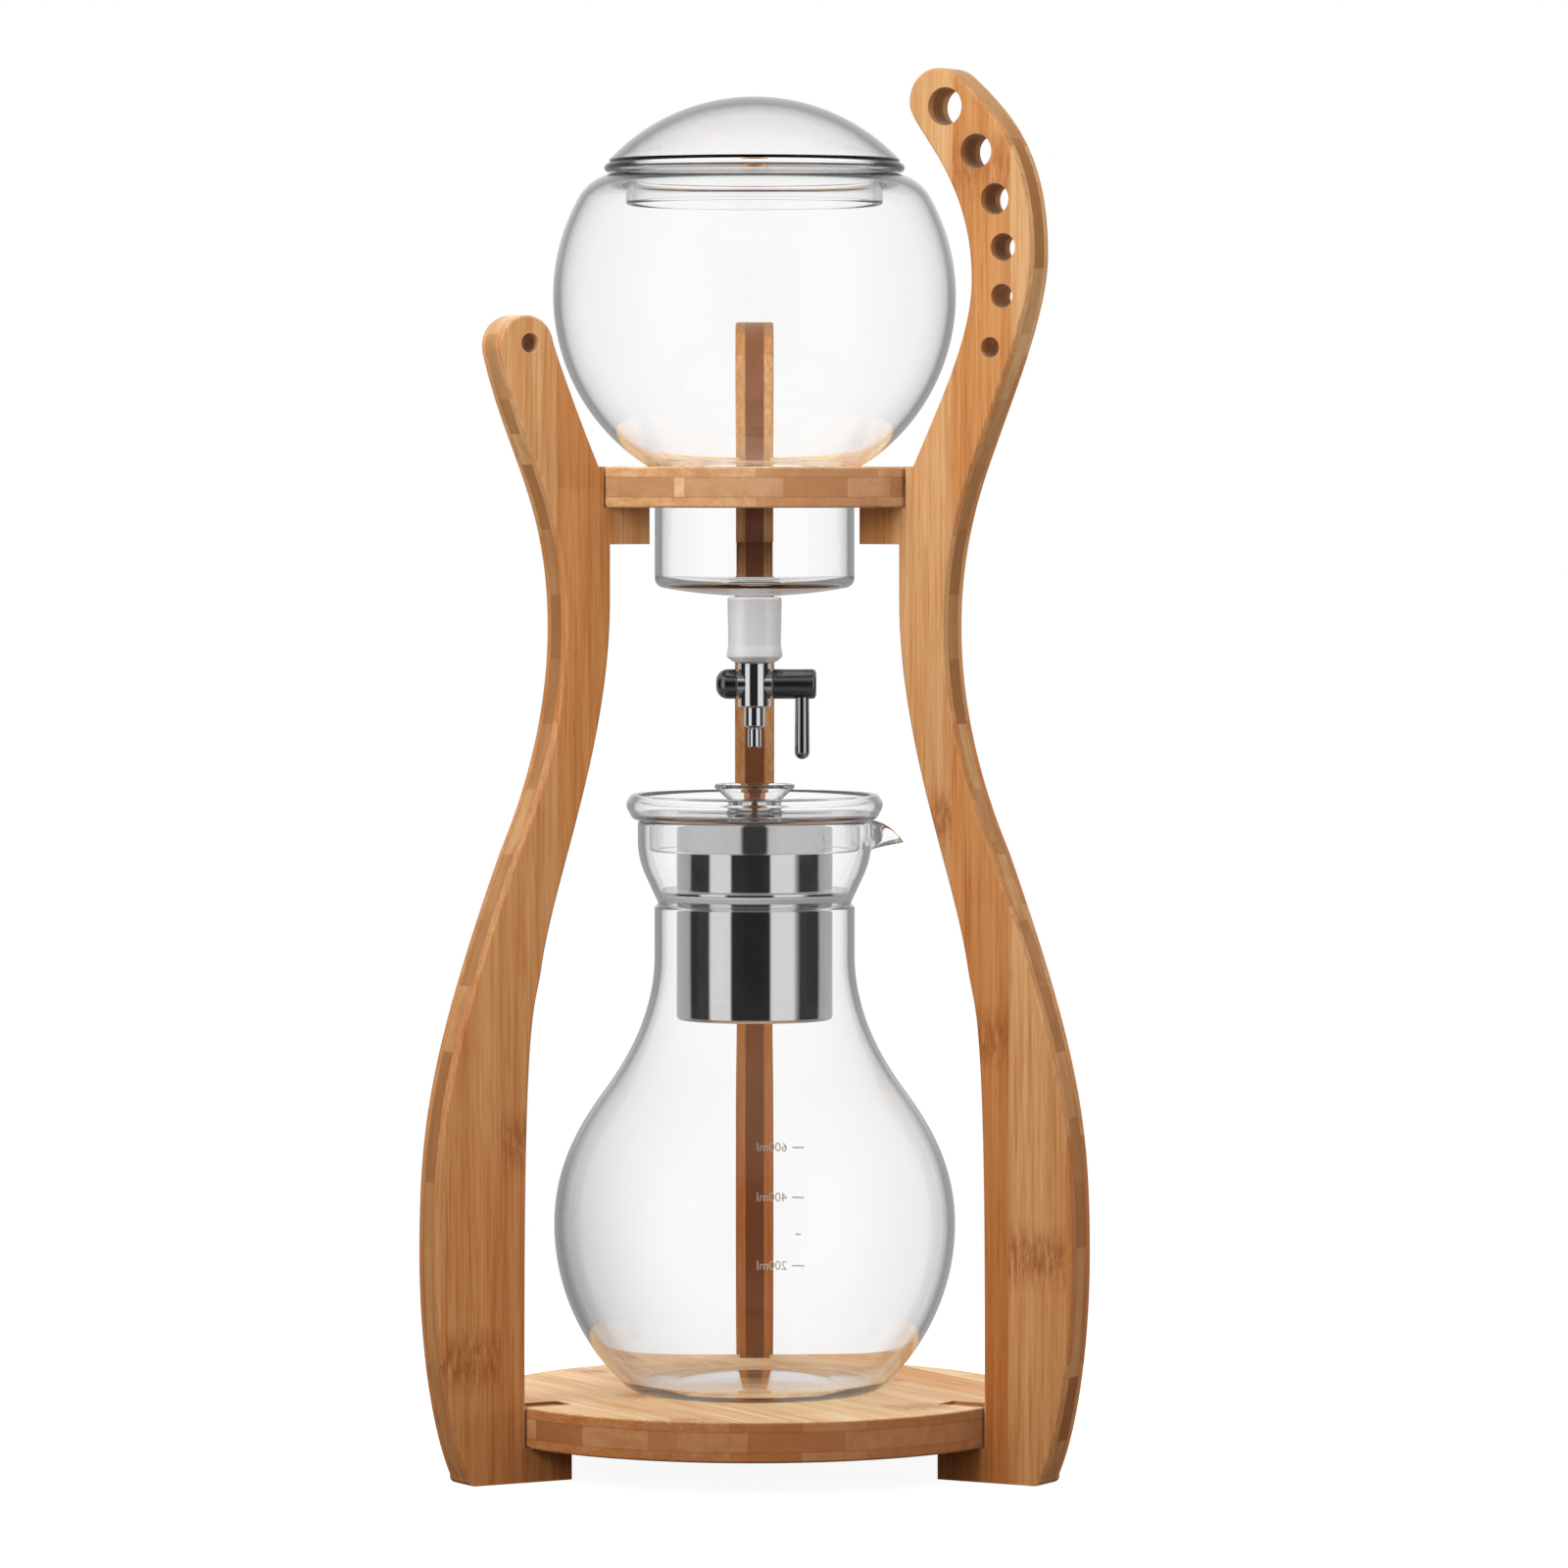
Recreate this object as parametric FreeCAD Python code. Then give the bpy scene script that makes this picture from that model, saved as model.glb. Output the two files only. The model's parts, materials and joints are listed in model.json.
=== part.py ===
import FreeCAD, Part
import math
import os

# Cold drip coffee tower. Three bamboo legs carry a round base plate and a small round shelf.
# A glass water vessel hangs through the shelf, with a tap in the stopper of its neck.
# The tap drips through the funnel of a glass lid into a steel filter cup, which hangs in the
# neck of a glass carafe on the base plate.
# Millimetres, +Z up. The origin is on the drip axis at the table. The front is -Y.

os.makedirs("parts", exist_ok=True)

# ---- Bamboo boards ----
board = 12.0
board_edge_round = 0.8
base_radius = 80.4
base_underside = 10.0
shelf_radius = 54.0
shoulder_gap = 0.5
leg_azimuths = {"leg_front_left": 210.0, "leg_front_right": 330.0, "leg_back": 90.0}

# ---- Housed joint between each leg and each plate ----
housing_depth = 15.4
ledge_height = 10.8
tenon_thickness = 9.4
tenon_side_gap = 0.1
tenon_end_gap = 0.6
tenon_drop = 0.8

# ---- Leg outline, as widths beyond the two plates ----
foot_width = 18.8
foot_round = 2.0
belly_width = 29.0
belly_height = 67.0
knee_height = 40.0
waist_width = 15.0
waist_tuck = 2.4
waist_drop = 47.0
inner_waist_drop = 39.0
short_shoulder_lip = 1.4
tall_shoulder_lip = 2.3
shoulder_lean = 65.0
foot_swell = 7.0
foot_share = 0.26
belly_share = 0.65
# The leg's long S curves: where each turns, how far it leans there, and its four handles
waist_bend_shares = ((0.62, 0.637), -0.4, (0.2, 0.348, 0.027, 0.191))
inner_bend_shares = ((0.8, 0.492), -0.16, (0.196, 0.124, 0.061, 0.472))
curl_bend_shares = ((0.434, 0.509), 0.4, (0.243, 0.113, 0.161, 0.142))

# ---- Short legs, above the shelf ----
short_tip_radius = 8.9
short_tip_reach = 25.4
short_tip_rise = 35.2
short_tip_start = -14.0
short_tip_end = 166.0
short_back_shares = (0.455, 0.375)
short_front_shares = (0.13, 0.41)
short_hole_radius = 2.9
short_hole_inset = 1.0
short_hole_lift = 0.8

# ---- Tall leg, above the shelf ----
tall_tip_radius = 9.5
tall_tip_reach = 10.5
tall_tip_rise = 106.8
tall_back_reach = 41.2
tall_back_rise = 61.6
tall_front_reach = 21.7
tall_front_rise = 54.6
tall_tip_start = 49.0
tall_tip_end = 186.0
tall_back_shares = (0.645, 0.39)
tall_curl_shares = (0.15, 0.574)
tall_front_shares = (0.31, 0.393)
# The holes lie on an arc along the tall leg's curl, at these directions from the tip down
peg_angles = (45.3, 30.6, 17.2, 4.7, -7.7, -21.2)
peg_arc_radius = 65.6
peg_arc_reach = -33.1
peg_arc_rise = 58.4
first_peg_radius = 5.6
peg_radius_step = 0.52

# ---- Carafe ----
carafe_wall = 2.0
carafe_floor = 2.6
bulb_radius = 59.8
bulb_arc_radius = 65.8
bulb_height = 49.9
carafe_corner = 8.0
punt_radius = 25.0
punt_rise = 2.6
carafe_neck_radius = 29.8
shoulder_bend_shares = ((0.583, 0.54), -0.68, (0.269, 0.119, 0.13, 0.194))
pinch_radius = 28.6
neck_length = 15.4
neck_foot_height = 130.0
pinch_ledge = 1.0
pinch_round = 0.8
collar_radius = 34.8
collar_flare_height = 13.4
collar_round = 25.0
collar_band = 11.4
spout_root_radius = 9.5
spout_tip_radius = 2.6
spout_root_reach = 28.0
spout_overhang = 10.4
spout_tip_drop = 4.5
spout_cut_start = 0.8
spout_lip_drop = 7.1
spout_lip_lean = 130.0
spout_level_handle = 5.5
spout_level_drop = 1.5
spout_fall_handle = 4.0
trough_tip_radius = 0.6
spout_blend = 3.0
trough_blend = 4.0
rim_round = 0.6

# ---- Filter cup ----
cup_radius = 23.2
cup_wall = 0.8
cup_length = 60.0
cup_above_flange = 22.0
flange_thickness = 1.0
cup_foot_round = 1.2
floor_lip = 2.6
mesh_thickness = 0.5
mesh_hole_radius = 0.8
mesh_hole_pitch = 4.6
mesh_ring_height = 1.6
mesh_ring_width = 1.4
gasket_thickness = 2.0
gasket_rise = 1.4
seat_gap = 0.2
slip_gap = 0.05

# ---- Carafe lid ----
lid_wall = 2.0
lid_lip_reach = 3.0
lid_lip_height = 7.7
lid_lip_belly = 4.8
lid_lip_seat = 2.6
lid_lip_round = 3.0
lid_low_round = 1.2
lid_top_round = 1.6
lid_floor_rise = 1.6
lid_floor_round = 2.0
lid_top_inset = 4.6
lid_skirt_gap = 1.5
lid_skirt_depth = 9.0
funnel_ring_radius = 11.9
funnel_ring_height = 10.6
funnel_ring_band = 1.0
funnel_ring_rounds = (0.6, 0.4, 0.9)
funnel_waist_radius = 8.0
funnel_waist_rise = 2.4
funnel_waist_round = 1.6
funnel_flare = 1.5
funnel_throat_drop = 3.0
funnel_outlet_radius = 2.5
funnel_outlet_depth = 7.0

# ---- Tap ----
drip_gap = 10.8
tip_length = 6.0
tip_radius = 2.0
tip_chamfer = 0.3
stem_length = 6.1
stem_radius = 3.1
stem_chamfer = 0.5
stem_groove = 0.3
stem_spigot_radius = 1.9
tip_spigot_radius = 1.4
drip_bore_radius = 0.8
tap_height = 13.5
tap_radius = 4.9
tap_axis_height = 6.9
tap_edge_round = 0.6
boss_radius = 4.1
boss_reach = 5.3
flow_bore_radius = 1.2
spindle_radius = 3.0
running_gap = 0.03
spindle_stub_radius = 2.0
knob_stub_length = 4.6
cap_stub_length = 3.6
meter_bore_radius = 0.9
ring_section = 0.8
ring_groove = 0.96
ring_offset = 3.5
knob_radius = 4.45
knob_length = 13.0
knob_round = 1.2
cap_length = 6.1
cap_round = 3.4
face_gap = 0.05
lever_radius = 2.1
lever_tip_radius = 2.25
lever_drop = 22.4
lever_inset = 4.2
lever_depth = 0.8
inlet_radius = 2.5
inlet_reach = 14.0
bore_web = 0.6
spigot_length = 2.2

# ---- Stopper ----
stopper_radius = 8.1
stopper_lip = 0.3
stopper_height = 19.3
stopper_chamfer = 1.6
stopper_waist_height = 5.0
stopper_round = 0.8
grommet_radius = 4.5
grommet_gap = 0.1
button_radius = 6.3
button_height = 1.3
button_round = 0.6
stopper_bore_radius = 2.2

# ---- Water vessel ----
vessel_wall = 2.0
globe_radius = 59.8
neck_radius = 29.7
neck_depth = 38.5
neck_corner = 3.0
dish_radius = 150.0
neck_fillet = 2.0
crown_height = 36.3
crown_round = 14.0
mouth_radius = 39.4
neck_hole_gap = 0.8
seat_chamfer = 1.5

# ---- Vessel lid ----
dome_inset = 0.8
dome_wall = 2.2
lid_rim_radius = 44.6
lid_rim_height = 2.8
skirt_gap = 1.2
skirt_wall = 2.0
skirt_depth = 10.2

# ---- Heights that follow, from the table up ----
base_top = base_underside + board
neck_foot = base_top + neck_foot_height
pinch = neck_foot + neck_length
collar_foot = pinch + collar_flare_height
collar_top = collar_foot + collar_band
lid_seat = collar_top + seat_gap
funnel_top = lid_seat + funnel_ring_height
tip_end = funnel_top + drip_gap
stem_end = tip_end + tip_length
tap_bottom = stem_end + stem_length
tap_axis = tap_bottom + tap_axis_height
tap_top = tap_bottom + tap_height
inlet_foot = tap_axis + spindle_radius + bore_web
neck_bottom = tap_top + stopper_height + seat_gap
shelf_top = neck_bottom + neck_depth
shelf_underside = shelf_top - board
neck_hole_radius = neck_radius + neck_hole_gap
globe_seat_radius = neck_hole_radius + seat_chamfer
globe_centre = shelf_top + seat_gap + math.sqrt(globe_radius ** 2 - globe_seat_radius ** 2)
crown_top = globe_centre + crown_height
base_face = base_radius + shoulder_gap
shelf_face = shelf_radius + shoulder_gap

END = 1.0  # how far a cutting tool runs past the face that it opens
TINY = 1e-4  # how near two lengths are when they count as the same


class Outline:
    """A closed outline in the X-Z plane, drawn span by span."""

    def __init__(self, x, z):
        self.first = FreeCAD.Vector(x, 0, z)
        self.here = self.first
        self.spans = []

    def _add(self, curve, end):
        self.spans.append(curve.toShape())
        self.here = end

    def line(self, x, z):
        end = FreeCAD.Vector(x, 0, z)
        if self.here.distanceToPoint(end) > TINY:
            self._add(Part.LineSegment(self.here, end), end)
        return self

    def arc(self, centre, radius, end_x, end_z):
        """The shorter arc about centre, from the present point to the end."""
        middle = FreeCAD.Vector(centre[0], 0, centre[1])
        end = FreeCAD.Vector(end_x, 0, end_z)
        halfway = (self.here + end) * 0.5 - middle
        halfway.normalize()
        self._add(Part.Arc(self.here, middle + halfway * radius, end), end)
        return self

    def round(self, corner_x, corner_z, radius, next_x, next_z):
        """A line towards a corner, and a tangent arc that turns it towards the next point."""
        corner = FreeCAD.Vector(corner_x, 0, corner_z)
        back = (self.here - corner).normalize()
        ahead = (FreeCAD.Vector(next_x, 0, next_z) - corner).normalize()
        half_angle = back.getAngle(ahead) / 2
        setback = radius / math.tan(half_angle)
        middle = corner + (back + ahead).normalize() * (radius / math.sin(half_angle))
        start = corner + back * setback
        end = corner + ahead * setback
        self.line(start.x, start.z)
        return self.arc((middle.x, middle.z), radius, end.x, end.z)

    def curve(self, first_handle, second_handle, end):
        """A cubic curve with its two handles."""
        bezier = Part.BezierCurve()
        poles = [self.here]
        for x, z in (first_handle, second_handle, end):
            poles.append(FreeCAD.Vector(x, 0, z))
        bezier.setPoles(poles)
        self._add(bezier, poles[-1])
        return self

    def sway(self, end_x, end_z, turn, lean, reach):
        """An S from vertical to vertical, in two spans that share a leaning tangent.

        turn: where the two spans meet, as shares of the run in X and in Z.
        lean: the tangent's X for each unit of Z there.
        reach: the four handle lengths, as shares of the run in Z.
        """
        x, z = self.here.x, self.here.z
        rise = end_z - z
        meet_x = x + (end_x - x) * turn[0]
        meet_z = z + rise * turn[1]
        length = math.hypot(lean, 1)
        step_x, step_z = lean / length, 1 / length
        lengths = [share * rise for share in reach]
        self.curve((x, z + lengths[0]),
                   (meet_x - step_x * lengths[1], meet_z - step_z * lengths[1]),
                   (meet_x, meet_z))
        return self.curve((meet_x + step_x * lengths[2], meet_z + step_z * lengths[2]),
                          (end_x, end_z - lengths[3]),
                          (end_x, end_z))

    def face(self):
        self.line(self.first.x, self.first.z)
        return Part.Face(Part.Wire(self.spans))

    def turned(self):
        """The solid that the outline sweeps about the vertical axis."""
        return self.face().revolve(FreeCAD.Vector(), FreeCAD.Vector(0, 0, 1), 360)


def polygon(points):
    """An outline from (x, z) or (x, z, radius) corners, the third being a rounded corner."""
    outline = Outline(points[0][0], points[0][1])
    for index, point in enumerate(points[1:], 1):
        after = points[(index + 1) % len(points)]
        if len(point) == 3:
            outline.round(point[0], point[1], point[2], after[0], after[1])
        else:
            outline.line(point[0], point[1])
    return outline


def upright(radius, low, high, x=0.0, y=0.0):
    """A vertical cylinder between two heights."""
    return Part.makeCylinder(radius, high - low, FreeCAD.Vector(x, y, low))


def crosswise(radius, left, right, height):
    """A cylinder along X at one height."""
    return Part.makeCylinder(radius, right - left, FreeCAD.Vector(left, 0, height),
                             FreeCAD.Vector(1, 0, 0))


def round_edges(shape):
    """The edges that are circles. An edge shrunk to a point, as at a pole, has no curve."""
    return [edge for edge in shape.Edges if not edge.Degenerated and isinstance(edge.Curve, Part.Circle)]


def circles(shape, radius, height):
    """The round edges of one radius at one height."""
    found = []
    for edge in round_edges(shape):
        if abs(edge.Curve.Radius - radius) < TINY and abs(edge.Curve.Center.z - height) < TINY:
            found.append(edge)
    return found


def about_drip_axis(shape, azimuth):
    """A copy turned from the +X direction to an azimuth."""
    turned = shape.copy()
    turned.rotate(FreeCAD.Vector(), FreeCAD.Vector(0, 0, 1), azimuth)
    return turned


def on_circle(centre, radius, degrees):
    turn = math.radians(degrees)
    return (centre[0] + radius * math.cos(turn), centre[1] + radius * math.sin(turn))


def along(point, degrees, distance):
    """A point a distance away in a direction."""
    return on_circle(point, distance, degrees)


# ---- Legs ----

def lower_leg(outline):
    """The outer edge that all legs share: the foot, the belly and the waist."""
    foot_out = base_face + foot_width
    belly = base_face + belly_width
    outline.line(foot_out - foot_round, 0)
    outline.arc((foot_out - foot_round, foot_round), foot_round, foot_out, foot_round)
    outline.curve((foot_out + foot_swell, belly_height * foot_share),
                  (belly, belly_height * belly_share), (belly, belly_height))
    outline.sway(shelf_face + waist_width - waist_tuck, shelf_top - waist_drop, *waist_bend_shares)


def round_tip(outline, tip, radius, start, end):
    """The round end of a leg, in two arcs from one direction to another."""
    for degrees in ((start + end) / 2, end):
        point = on_circle(tip, radius, degrees)
        outline.arc(tip, radius, point[0], point[1])


def short_top(outline):
    """The end of a short leg, round about its hole."""
    tip = (shelf_face + short_tip_reach, shelf_top + short_tip_rise)
    outer = on_circle(tip, short_tip_radius, short_tip_start)
    inner = on_circle(tip, short_tip_radius, short_tip_end)
    waist = (outline.here.x, outline.here.z)
    span = short_tip_rise + waist_drop
    outline.curve((waist[0], waist[1] + span * short_back_shares[0]),
                  along(outer, short_tip_start - 90, span * short_back_shares[1]), outer)
    round_tip(outline, tip, short_tip_radius, short_tip_start, short_tip_end)
    root = (shelf_face + short_shoulder_lip, shelf_top)
    outline.curve(along(inner, short_tip_end + 90, short_tip_rise * short_front_shares[0]),
                  along(root, shoulder_lean, short_tip_rise * short_front_shares[1]), root)


def tall_top(outline):
    """The end of the tall leg, which curls in over the vessel's shoulder."""
    tip = (shelf_face + tall_tip_reach, shelf_top + tall_tip_rise)
    outer = on_circle(tip, tall_tip_radius, tall_tip_start)
    inner = on_circle(tip, tall_tip_radius, tall_tip_end)
    back = (shelf_face + tall_back_reach, shelf_top + tall_back_rise)
    front = (shelf_face + tall_front_reach, shelf_top + tall_front_rise)
    outline.sway(back[0], back[1], *curl_bend_shares)
    span = tip[1] - back[1]
    outline.curve((back[0], back[1] + span * tall_back_shares[0]),
                  along(outer, tall_tip_start - 90, span * tall_back_shares[1]), outer)
    round_tip(outline, tip, tall_tip_radius, tall_tip_start, tall_tip_end)
    span = tip[1] - front[1]
    outline.curve(along(inner, tall_tip_end + 90, span * tall_curl_shares[0]),
                  (front[0], front[1] + span * tall_curl_shares[1]), front)
    root = (shelf_face + tall_shoulder_lip, shelf_top)
    span = front[1] - root[1]
    outline.curve((front[0], front[1] - span * tall_front_shares[0]),
                  along(root, shoulder_lean, span * tall_front_shares[1]), root)


def leg_outline(draw_top):
    shelf_ledge = shelf_face - housing_depth
    base_ledge = base_face - housing_depth
    waist_in = shelf_face - waist_tuck
    outline = Outline(base_ledge, 0)
    lower_leg(outline)
    draw_top(outline)
    outline.line(shelf_face, shelf_top)
    outline.line(shelf_face, shelf_underside)
    outline.line(shelf_ledge, shelf_underside)
    outline.line(shelf_ledge, shelf_underside - ledge_height)
    outline.line(waist_in, shelf_underside - ledge_height)
    outline.line(waist_in, shelf_top - inner_waist_drop)
    outline.sway(base_face, knee_height, *inner_bend_shares)
    outline.line(base_face, base_underside)
    outline.line(base_ledge, base_underside)
    return outline


def leg_board(draw_top):
    """The flat board, standing in the X-Z plane with its thickness along Y, its curved edges eased."""
    slab = leg_outline(draw_top).face().extrude(FreeCAD.Vector(0, board, 0))
    slab.translate(FreeCAD.Vector(0, -board / 2, 0))
    curved = [edge for edge in slab.Edges if not isinstance(edge.Curve, Part.Line)
              and edge.CenterOfMass.z > foot_round and abs(abs(edge.CenterOfMass.y) - board / 2) < TINY]
    return slab.makeFillet(board_edge_round, curved)


def tenon(face_radius, underside):
    """The thinned tongue that stands on a ledge and fills a slot of its plate."""
    inner = face_radius - housing_depth
    return Part.makeBox(housing_depth, tenon_thickness, board - tenon_drop,
                        FreeCAD.Vector(inner, -tenon_thickness / 2, underside))


def make_leg(draw_top, holes):
    leg = leg_board(draw_top)
    for reach, rise, radius in holes:
        drill = Part.makeCylinder(radius, board + 2 * END,
                                  FreeCAD.Vector(shelf_face + reach, -board / 2 - END, shelf_top + rise),
                                  FreeCAD.Vector(0, 1, 0))
        leg = leg.cut(drill)
    leg = leg.fuse([tenon(base_face, base_underside), tenon(shelf_face, shelf_underside)])
    return leg.removeSplitter()


def peg_holes():
    """The tall leg's holes, each smaller than the one above."""
    holes = []
    for index, degrees in enumerate(peg_angles):
        reach, rise = on_circle((peg_arc_reach, peg_arc_rise), peg_arc_radius, degrees)
        holes.append((reach, rise, first_peg_radius - peg_radius_step * index))
    return holes


# ---- Plates ----

def slotted_plate(radius, underside, face_radius):
    """A round board with an open radial slot for each leg's tenon."""
    plate = upright(radius, underside, underside + board)
    rims = circles(plate, radius, underside) + circles(plate, radius, underside + board)
    plate = plate.makeFillet(board_edge_round, rims)
    slot_end = face_radius - housing_depth - tenon_end_gap
    width = tenon_thickness + 2 * tenon_side_gap
    for azimuth in leg_azimuths.values():
        slot = Part.makeBox(housing_depth + 2 * tenon_end_gap + END, width, board + 2 * END,
                            FreeCAD.Vector(slot_end, -width / 2, underside - END))
        plate = plate.cut(about_drip_axis(slot, azimuth))
    return plate


def make_shelf():
    """The upper plate, with the hole that the vessel's neck hangs in."""
    shelf = slotted_plate(shelf_radius, shelf_underside, shelf_face)
    shelf = shelf.cut(upright(neck_hole_radius, shelf_underside - END, shelf_top + END))
    return shelf.makeChamfer(seat_chamfer, circles(shelf, neck_hole_radius, shelf_top))


# ---- Water vessel and its lid ----

def globe_solid(inset):
    """The vessel's outer form, or its hollow when inset by the wall."""
    centre = (0.0, globe_centre)
    radius = globe_radius - inset
    neck = neck_radius - inset
    fillet = neck_fillet + inset
    corner = neck_corner - inset * 0.5
    dish = dish_radius - inset
    dish_centre = (0.0, neck_bottom + dish_radius)
    corner_x = neck - corner
    corner_z = dish_centre[1] - math.sqrt((dish - corner) ** 2 - corner_x ** 2)
    stretch = dish / (dish - corner)
    fillet_x = neck + fillet
    fillet_z = centre[1] - math.sqrt((radius + fillet) ** 2 - fillet_x ** 2)
    share = radius / (radius + fillet)
    crown = crown_round - inset
    crown_z = crown_top - crown_round
    crown_x = math.sqrt((radius - crown) ** 2 - (crown_z - centre[1]) ** 2)
    reach = radius / (radius - crown)
    outline = Outline(0, dish_centre[1] - dish)
    outline.arc(dish_centre, dish, corner_x * stretch,
                dish_centre[1] + (corner_z - dish_centre[1]) * stretch)
    outline.arc((corner_x, corner_z), corner, neck, corner_z)
    outline.line(neck, fillet_z)
    outline.arc((fillet_x, fillet_z), fillet, fillet_x * share,
                centre[1] + (fillet_z - centre[1]) * share)
    outline.arc(centre, radius, radius, centre[1])
    outline.arc(centre, radius, crown_x * reach, centre[1] + (crown_z - centre[1]) * reach)
    outline.arc((crown_x, crown_z), crown, crown_x, crown_z + crown)
    outline.line(0, crown_z + crown)
    return outline.turned()


def make_vessel():
    glass = globe_solid(0).cut(globe_solid(vessel_wall))
    glass = glass.cut(upright(mouth_radius, crown_top - crown_round, crown_top + END))
    lips = circles(glass, mouth_radius, crown_top) + circles(glass, mouth_radius, crown_top - vessel_wall)
    glass = glass.makeFillet(vessel_wall * 0.4, lips)
    outlet = upright(grommet_radius + grommet_gap, neck_bottom - END, neck_bottom + vessel_wall + END)
    return glass.cut(outlet)


def make_vessel_lid():
    """A dome that carries the globe's curve on, with a rolled rim and a skirt inside the mouth."""
    outer = globe_radius - dome_inset
    inner = outer - dome_wall
    skirt_out = mouth_radius - skirt_gap
    skirt_in = skirt_out - skirt_wall
    seat = crown_top + seat_gap
    rim_round = lid_rim_height / 2
    rim_x = lid_rim_radius - rim_round
    shoulder_z = globe_centre + math.sqrt(outer ** 2 - rim_x ** 2)
    hollow_z = globe_centre + math.sqrt(inner ** 2 - skirt_in ** 2)
    outline = Outline(0, globe_centre + inner)
    outline.arc((0, globe_centre), inner, skirt_in, hollow_z)
    outline.line(skirt_in, seat - skirt_depth)
    outline.arc((skirt_in + skirt_wall / 2, seat - skirt_depth), skirt_wall / 2,
                skirt_in + skirt_wall / 2, seat - skirt_depth - skirt_wall / 2)
    outline.arc((skirt_in + skirt_wall / 2, seat - skirt_depth), skirt_wall / 2,
                skirt_out, seat - skirt_depth)
    outline.line(skirt_out, seat)
    outline.line(rim_x, seat)
    outline.arc((rim_x, seat + rim_round), rim_round, lid_rim_radius, seat + rim_round)
    outline.arc((rim_x, seat + rim_round), rim_round, rim_x, seat + lid_rim_height)
    outline.line(rim_x, max(shoulder_z, seat + lid_rim_height))
    outline.arc((0, globe_centre), outer, 0, globe_centre + outer)
    return outline.turned()


# ---- Stopper and tap ----

def make_stopper():
    """A silicone plug under the neck, held by a button on the glass inside it."""
    top = neck_bottom - seat_gap
    low = tap_top
    inside = neck_bottom + vessel_wall + seat_gap
    bore_step = tap_top + inlet_reach + slip_gap
    plug = polygon([
        (inlet_radius, low), (stopper_radius - stopper_chamfer, low),
        (stopper_radius + stopper_lip, low + stopper_chamfer),
        (stopper_radius - stopper_lip, low + stopper_waist_height),
        (stopper_radius, top, stopper_round), (grommet_radius, top), (grommet_radius, inside),
        (button_radius, inside), (button_radius, inside + button_height, button_round),
        (stopper_bore_radius, inside + button_height), (stopper_bore_radius, bore_step),
        (inlet_radius, bore_step)])
    return plug.turned()


def make_inlet_tube():
    high = tap_top + inlet_reach
    tube = upright(inlet_radius - slip_gap, inlet_foot + slip_gap, high)
    return tube.cut(upright(flow_bore_radius, inlet_foot - END, high + END))


def make_tap_body():
    """An upright barrel with a boss across it, bored for the spindle and for the water."""
    body = upright(tap_radius, tap_bottom, tap_top)
    rims = circles(body, tap_radius, tap_bottom) + circles(body, tap_radius, tap_top)
    body = body.makeFillet(tap_edge_round, rims)
    body = body.fuse(crosswise(boss_radius, -boss_reach, boss_reach, tap_axis))
    body = body.cut(crosswise(spindle_radius, -boss_reach - END, boss_reach + END, tap_axis))
    body = body.cut(upright(flow_bore_radius, tap_bottom - END, tap_top + END))
    body = body.cut(upright(inlet_radius, inlet_foot, tap_top + END))
    return body.cut(upright(stem_spigot_radius + slip_gap, tap_bottom - END,
                            tap_bottom + spigot_length + slip_gap))


def make_spindle():
    """The metering plug, with a cross bore and a groove for each sealing ring."""
    radius = spindle_radius - running_gap
    spindle = crosswise(radius, -boss_reach, boss_reach, tap_axis)
    spindle = spindle.fuse([
        crosswise(spindle_stub_radius, -boss_reach - cap_stub_length, -boss_reach, tap_axis),
        crosswise(spindle_stub_radius, boss_reach, boss_reach + knob_stub_length, tap_axis)])
    for side in (-1, 1):
        middle = side * ring_offset
        groove = crosswise(radius + END, middle - ring_groove / 2, middle + ring_groove / 2, tap_axis)
        groove = groove.cut(crosswise(radius - ring_section, -boss_reach, boss_reach, tap_axis))
        spindle = spindle.cut(groove)
    spindle = spindle.cut(upright(meter_bore_radius, tap_axis - radius - END, tap_axis + radius + END))
    return spindle.removeSplitter()


def make_o_rings():
    section = (ring_section - running_gap) / 2
    major = spindle_radius - running_gap - ring_section / 2
    rings = []
    for side in (-1, 1):
        centre = FreeCAD.Vector(side * ring_offset, 0, tap_axis)
        rings.append(Part.makeTorus(major, section, centre, FreeCAD.Vector(1, 0, 0)))
    return Part.makeCompound(rings)


def make_knob():
    start = boss_reach + face_gap
    knob = crosswise(knob_radius, start, start + knob_length, tap_axis)
    outer = [edge for edge in round_edges(knob) if edge.Curve.Center.x > start + END]
    knob = knob.makeFillet(knob_round, outer)
    knob = knob.cut(crosswise(spindle_stub_radius + slip_gap, start - END,
                              boss_reach + knob_stub_length + slip_gap, tap_axis))
    return knob.cut(upright(lever_radius + slip_gap, tap_axis - knob_radius - END,
                            tap_axis + lever_depth + slip_gap, lever_x()))


def lever_x():
    return boss_reach + face_gap + knob_length - lever_inset


def make_lever():
    """A short rod, a little thicker towards its round end."""
    foot = tap_axis - lever_drop
    outline = Outline(0, foot)
    outline.arc((0, foot + lever_tip_radius), lever_tip_radius, lever_tip_radius, foot + lever_tip_radius)
    outline.line(lever_radius, tap_axis - knob_radius)
    outline.line(lever_radius, tap_axis + lever_depth)
    outline.line(0, tap_axis + lever_depth)
    lever = outline.turned()
    lever.translate(FreeCAD.Vector(lever_x(), 0, 0))
    return lever


def make_end_cap():
    start = -boss_reach - face_gap
    cap = crosswise(knob_radius, start - cap_length, start, tap_axis)
    outer = [edge for edge in round_edges(cap) if edge.Curve.Center.x < start - END]
    cap = cap.makeFillet(cap_round, outer)
    return cap.cut(crosswise(spindle_stub_radius + slip_gap,
                             -boss_reach - cap_stub_length - slip_gap, start + END, tap_axis))


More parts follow.
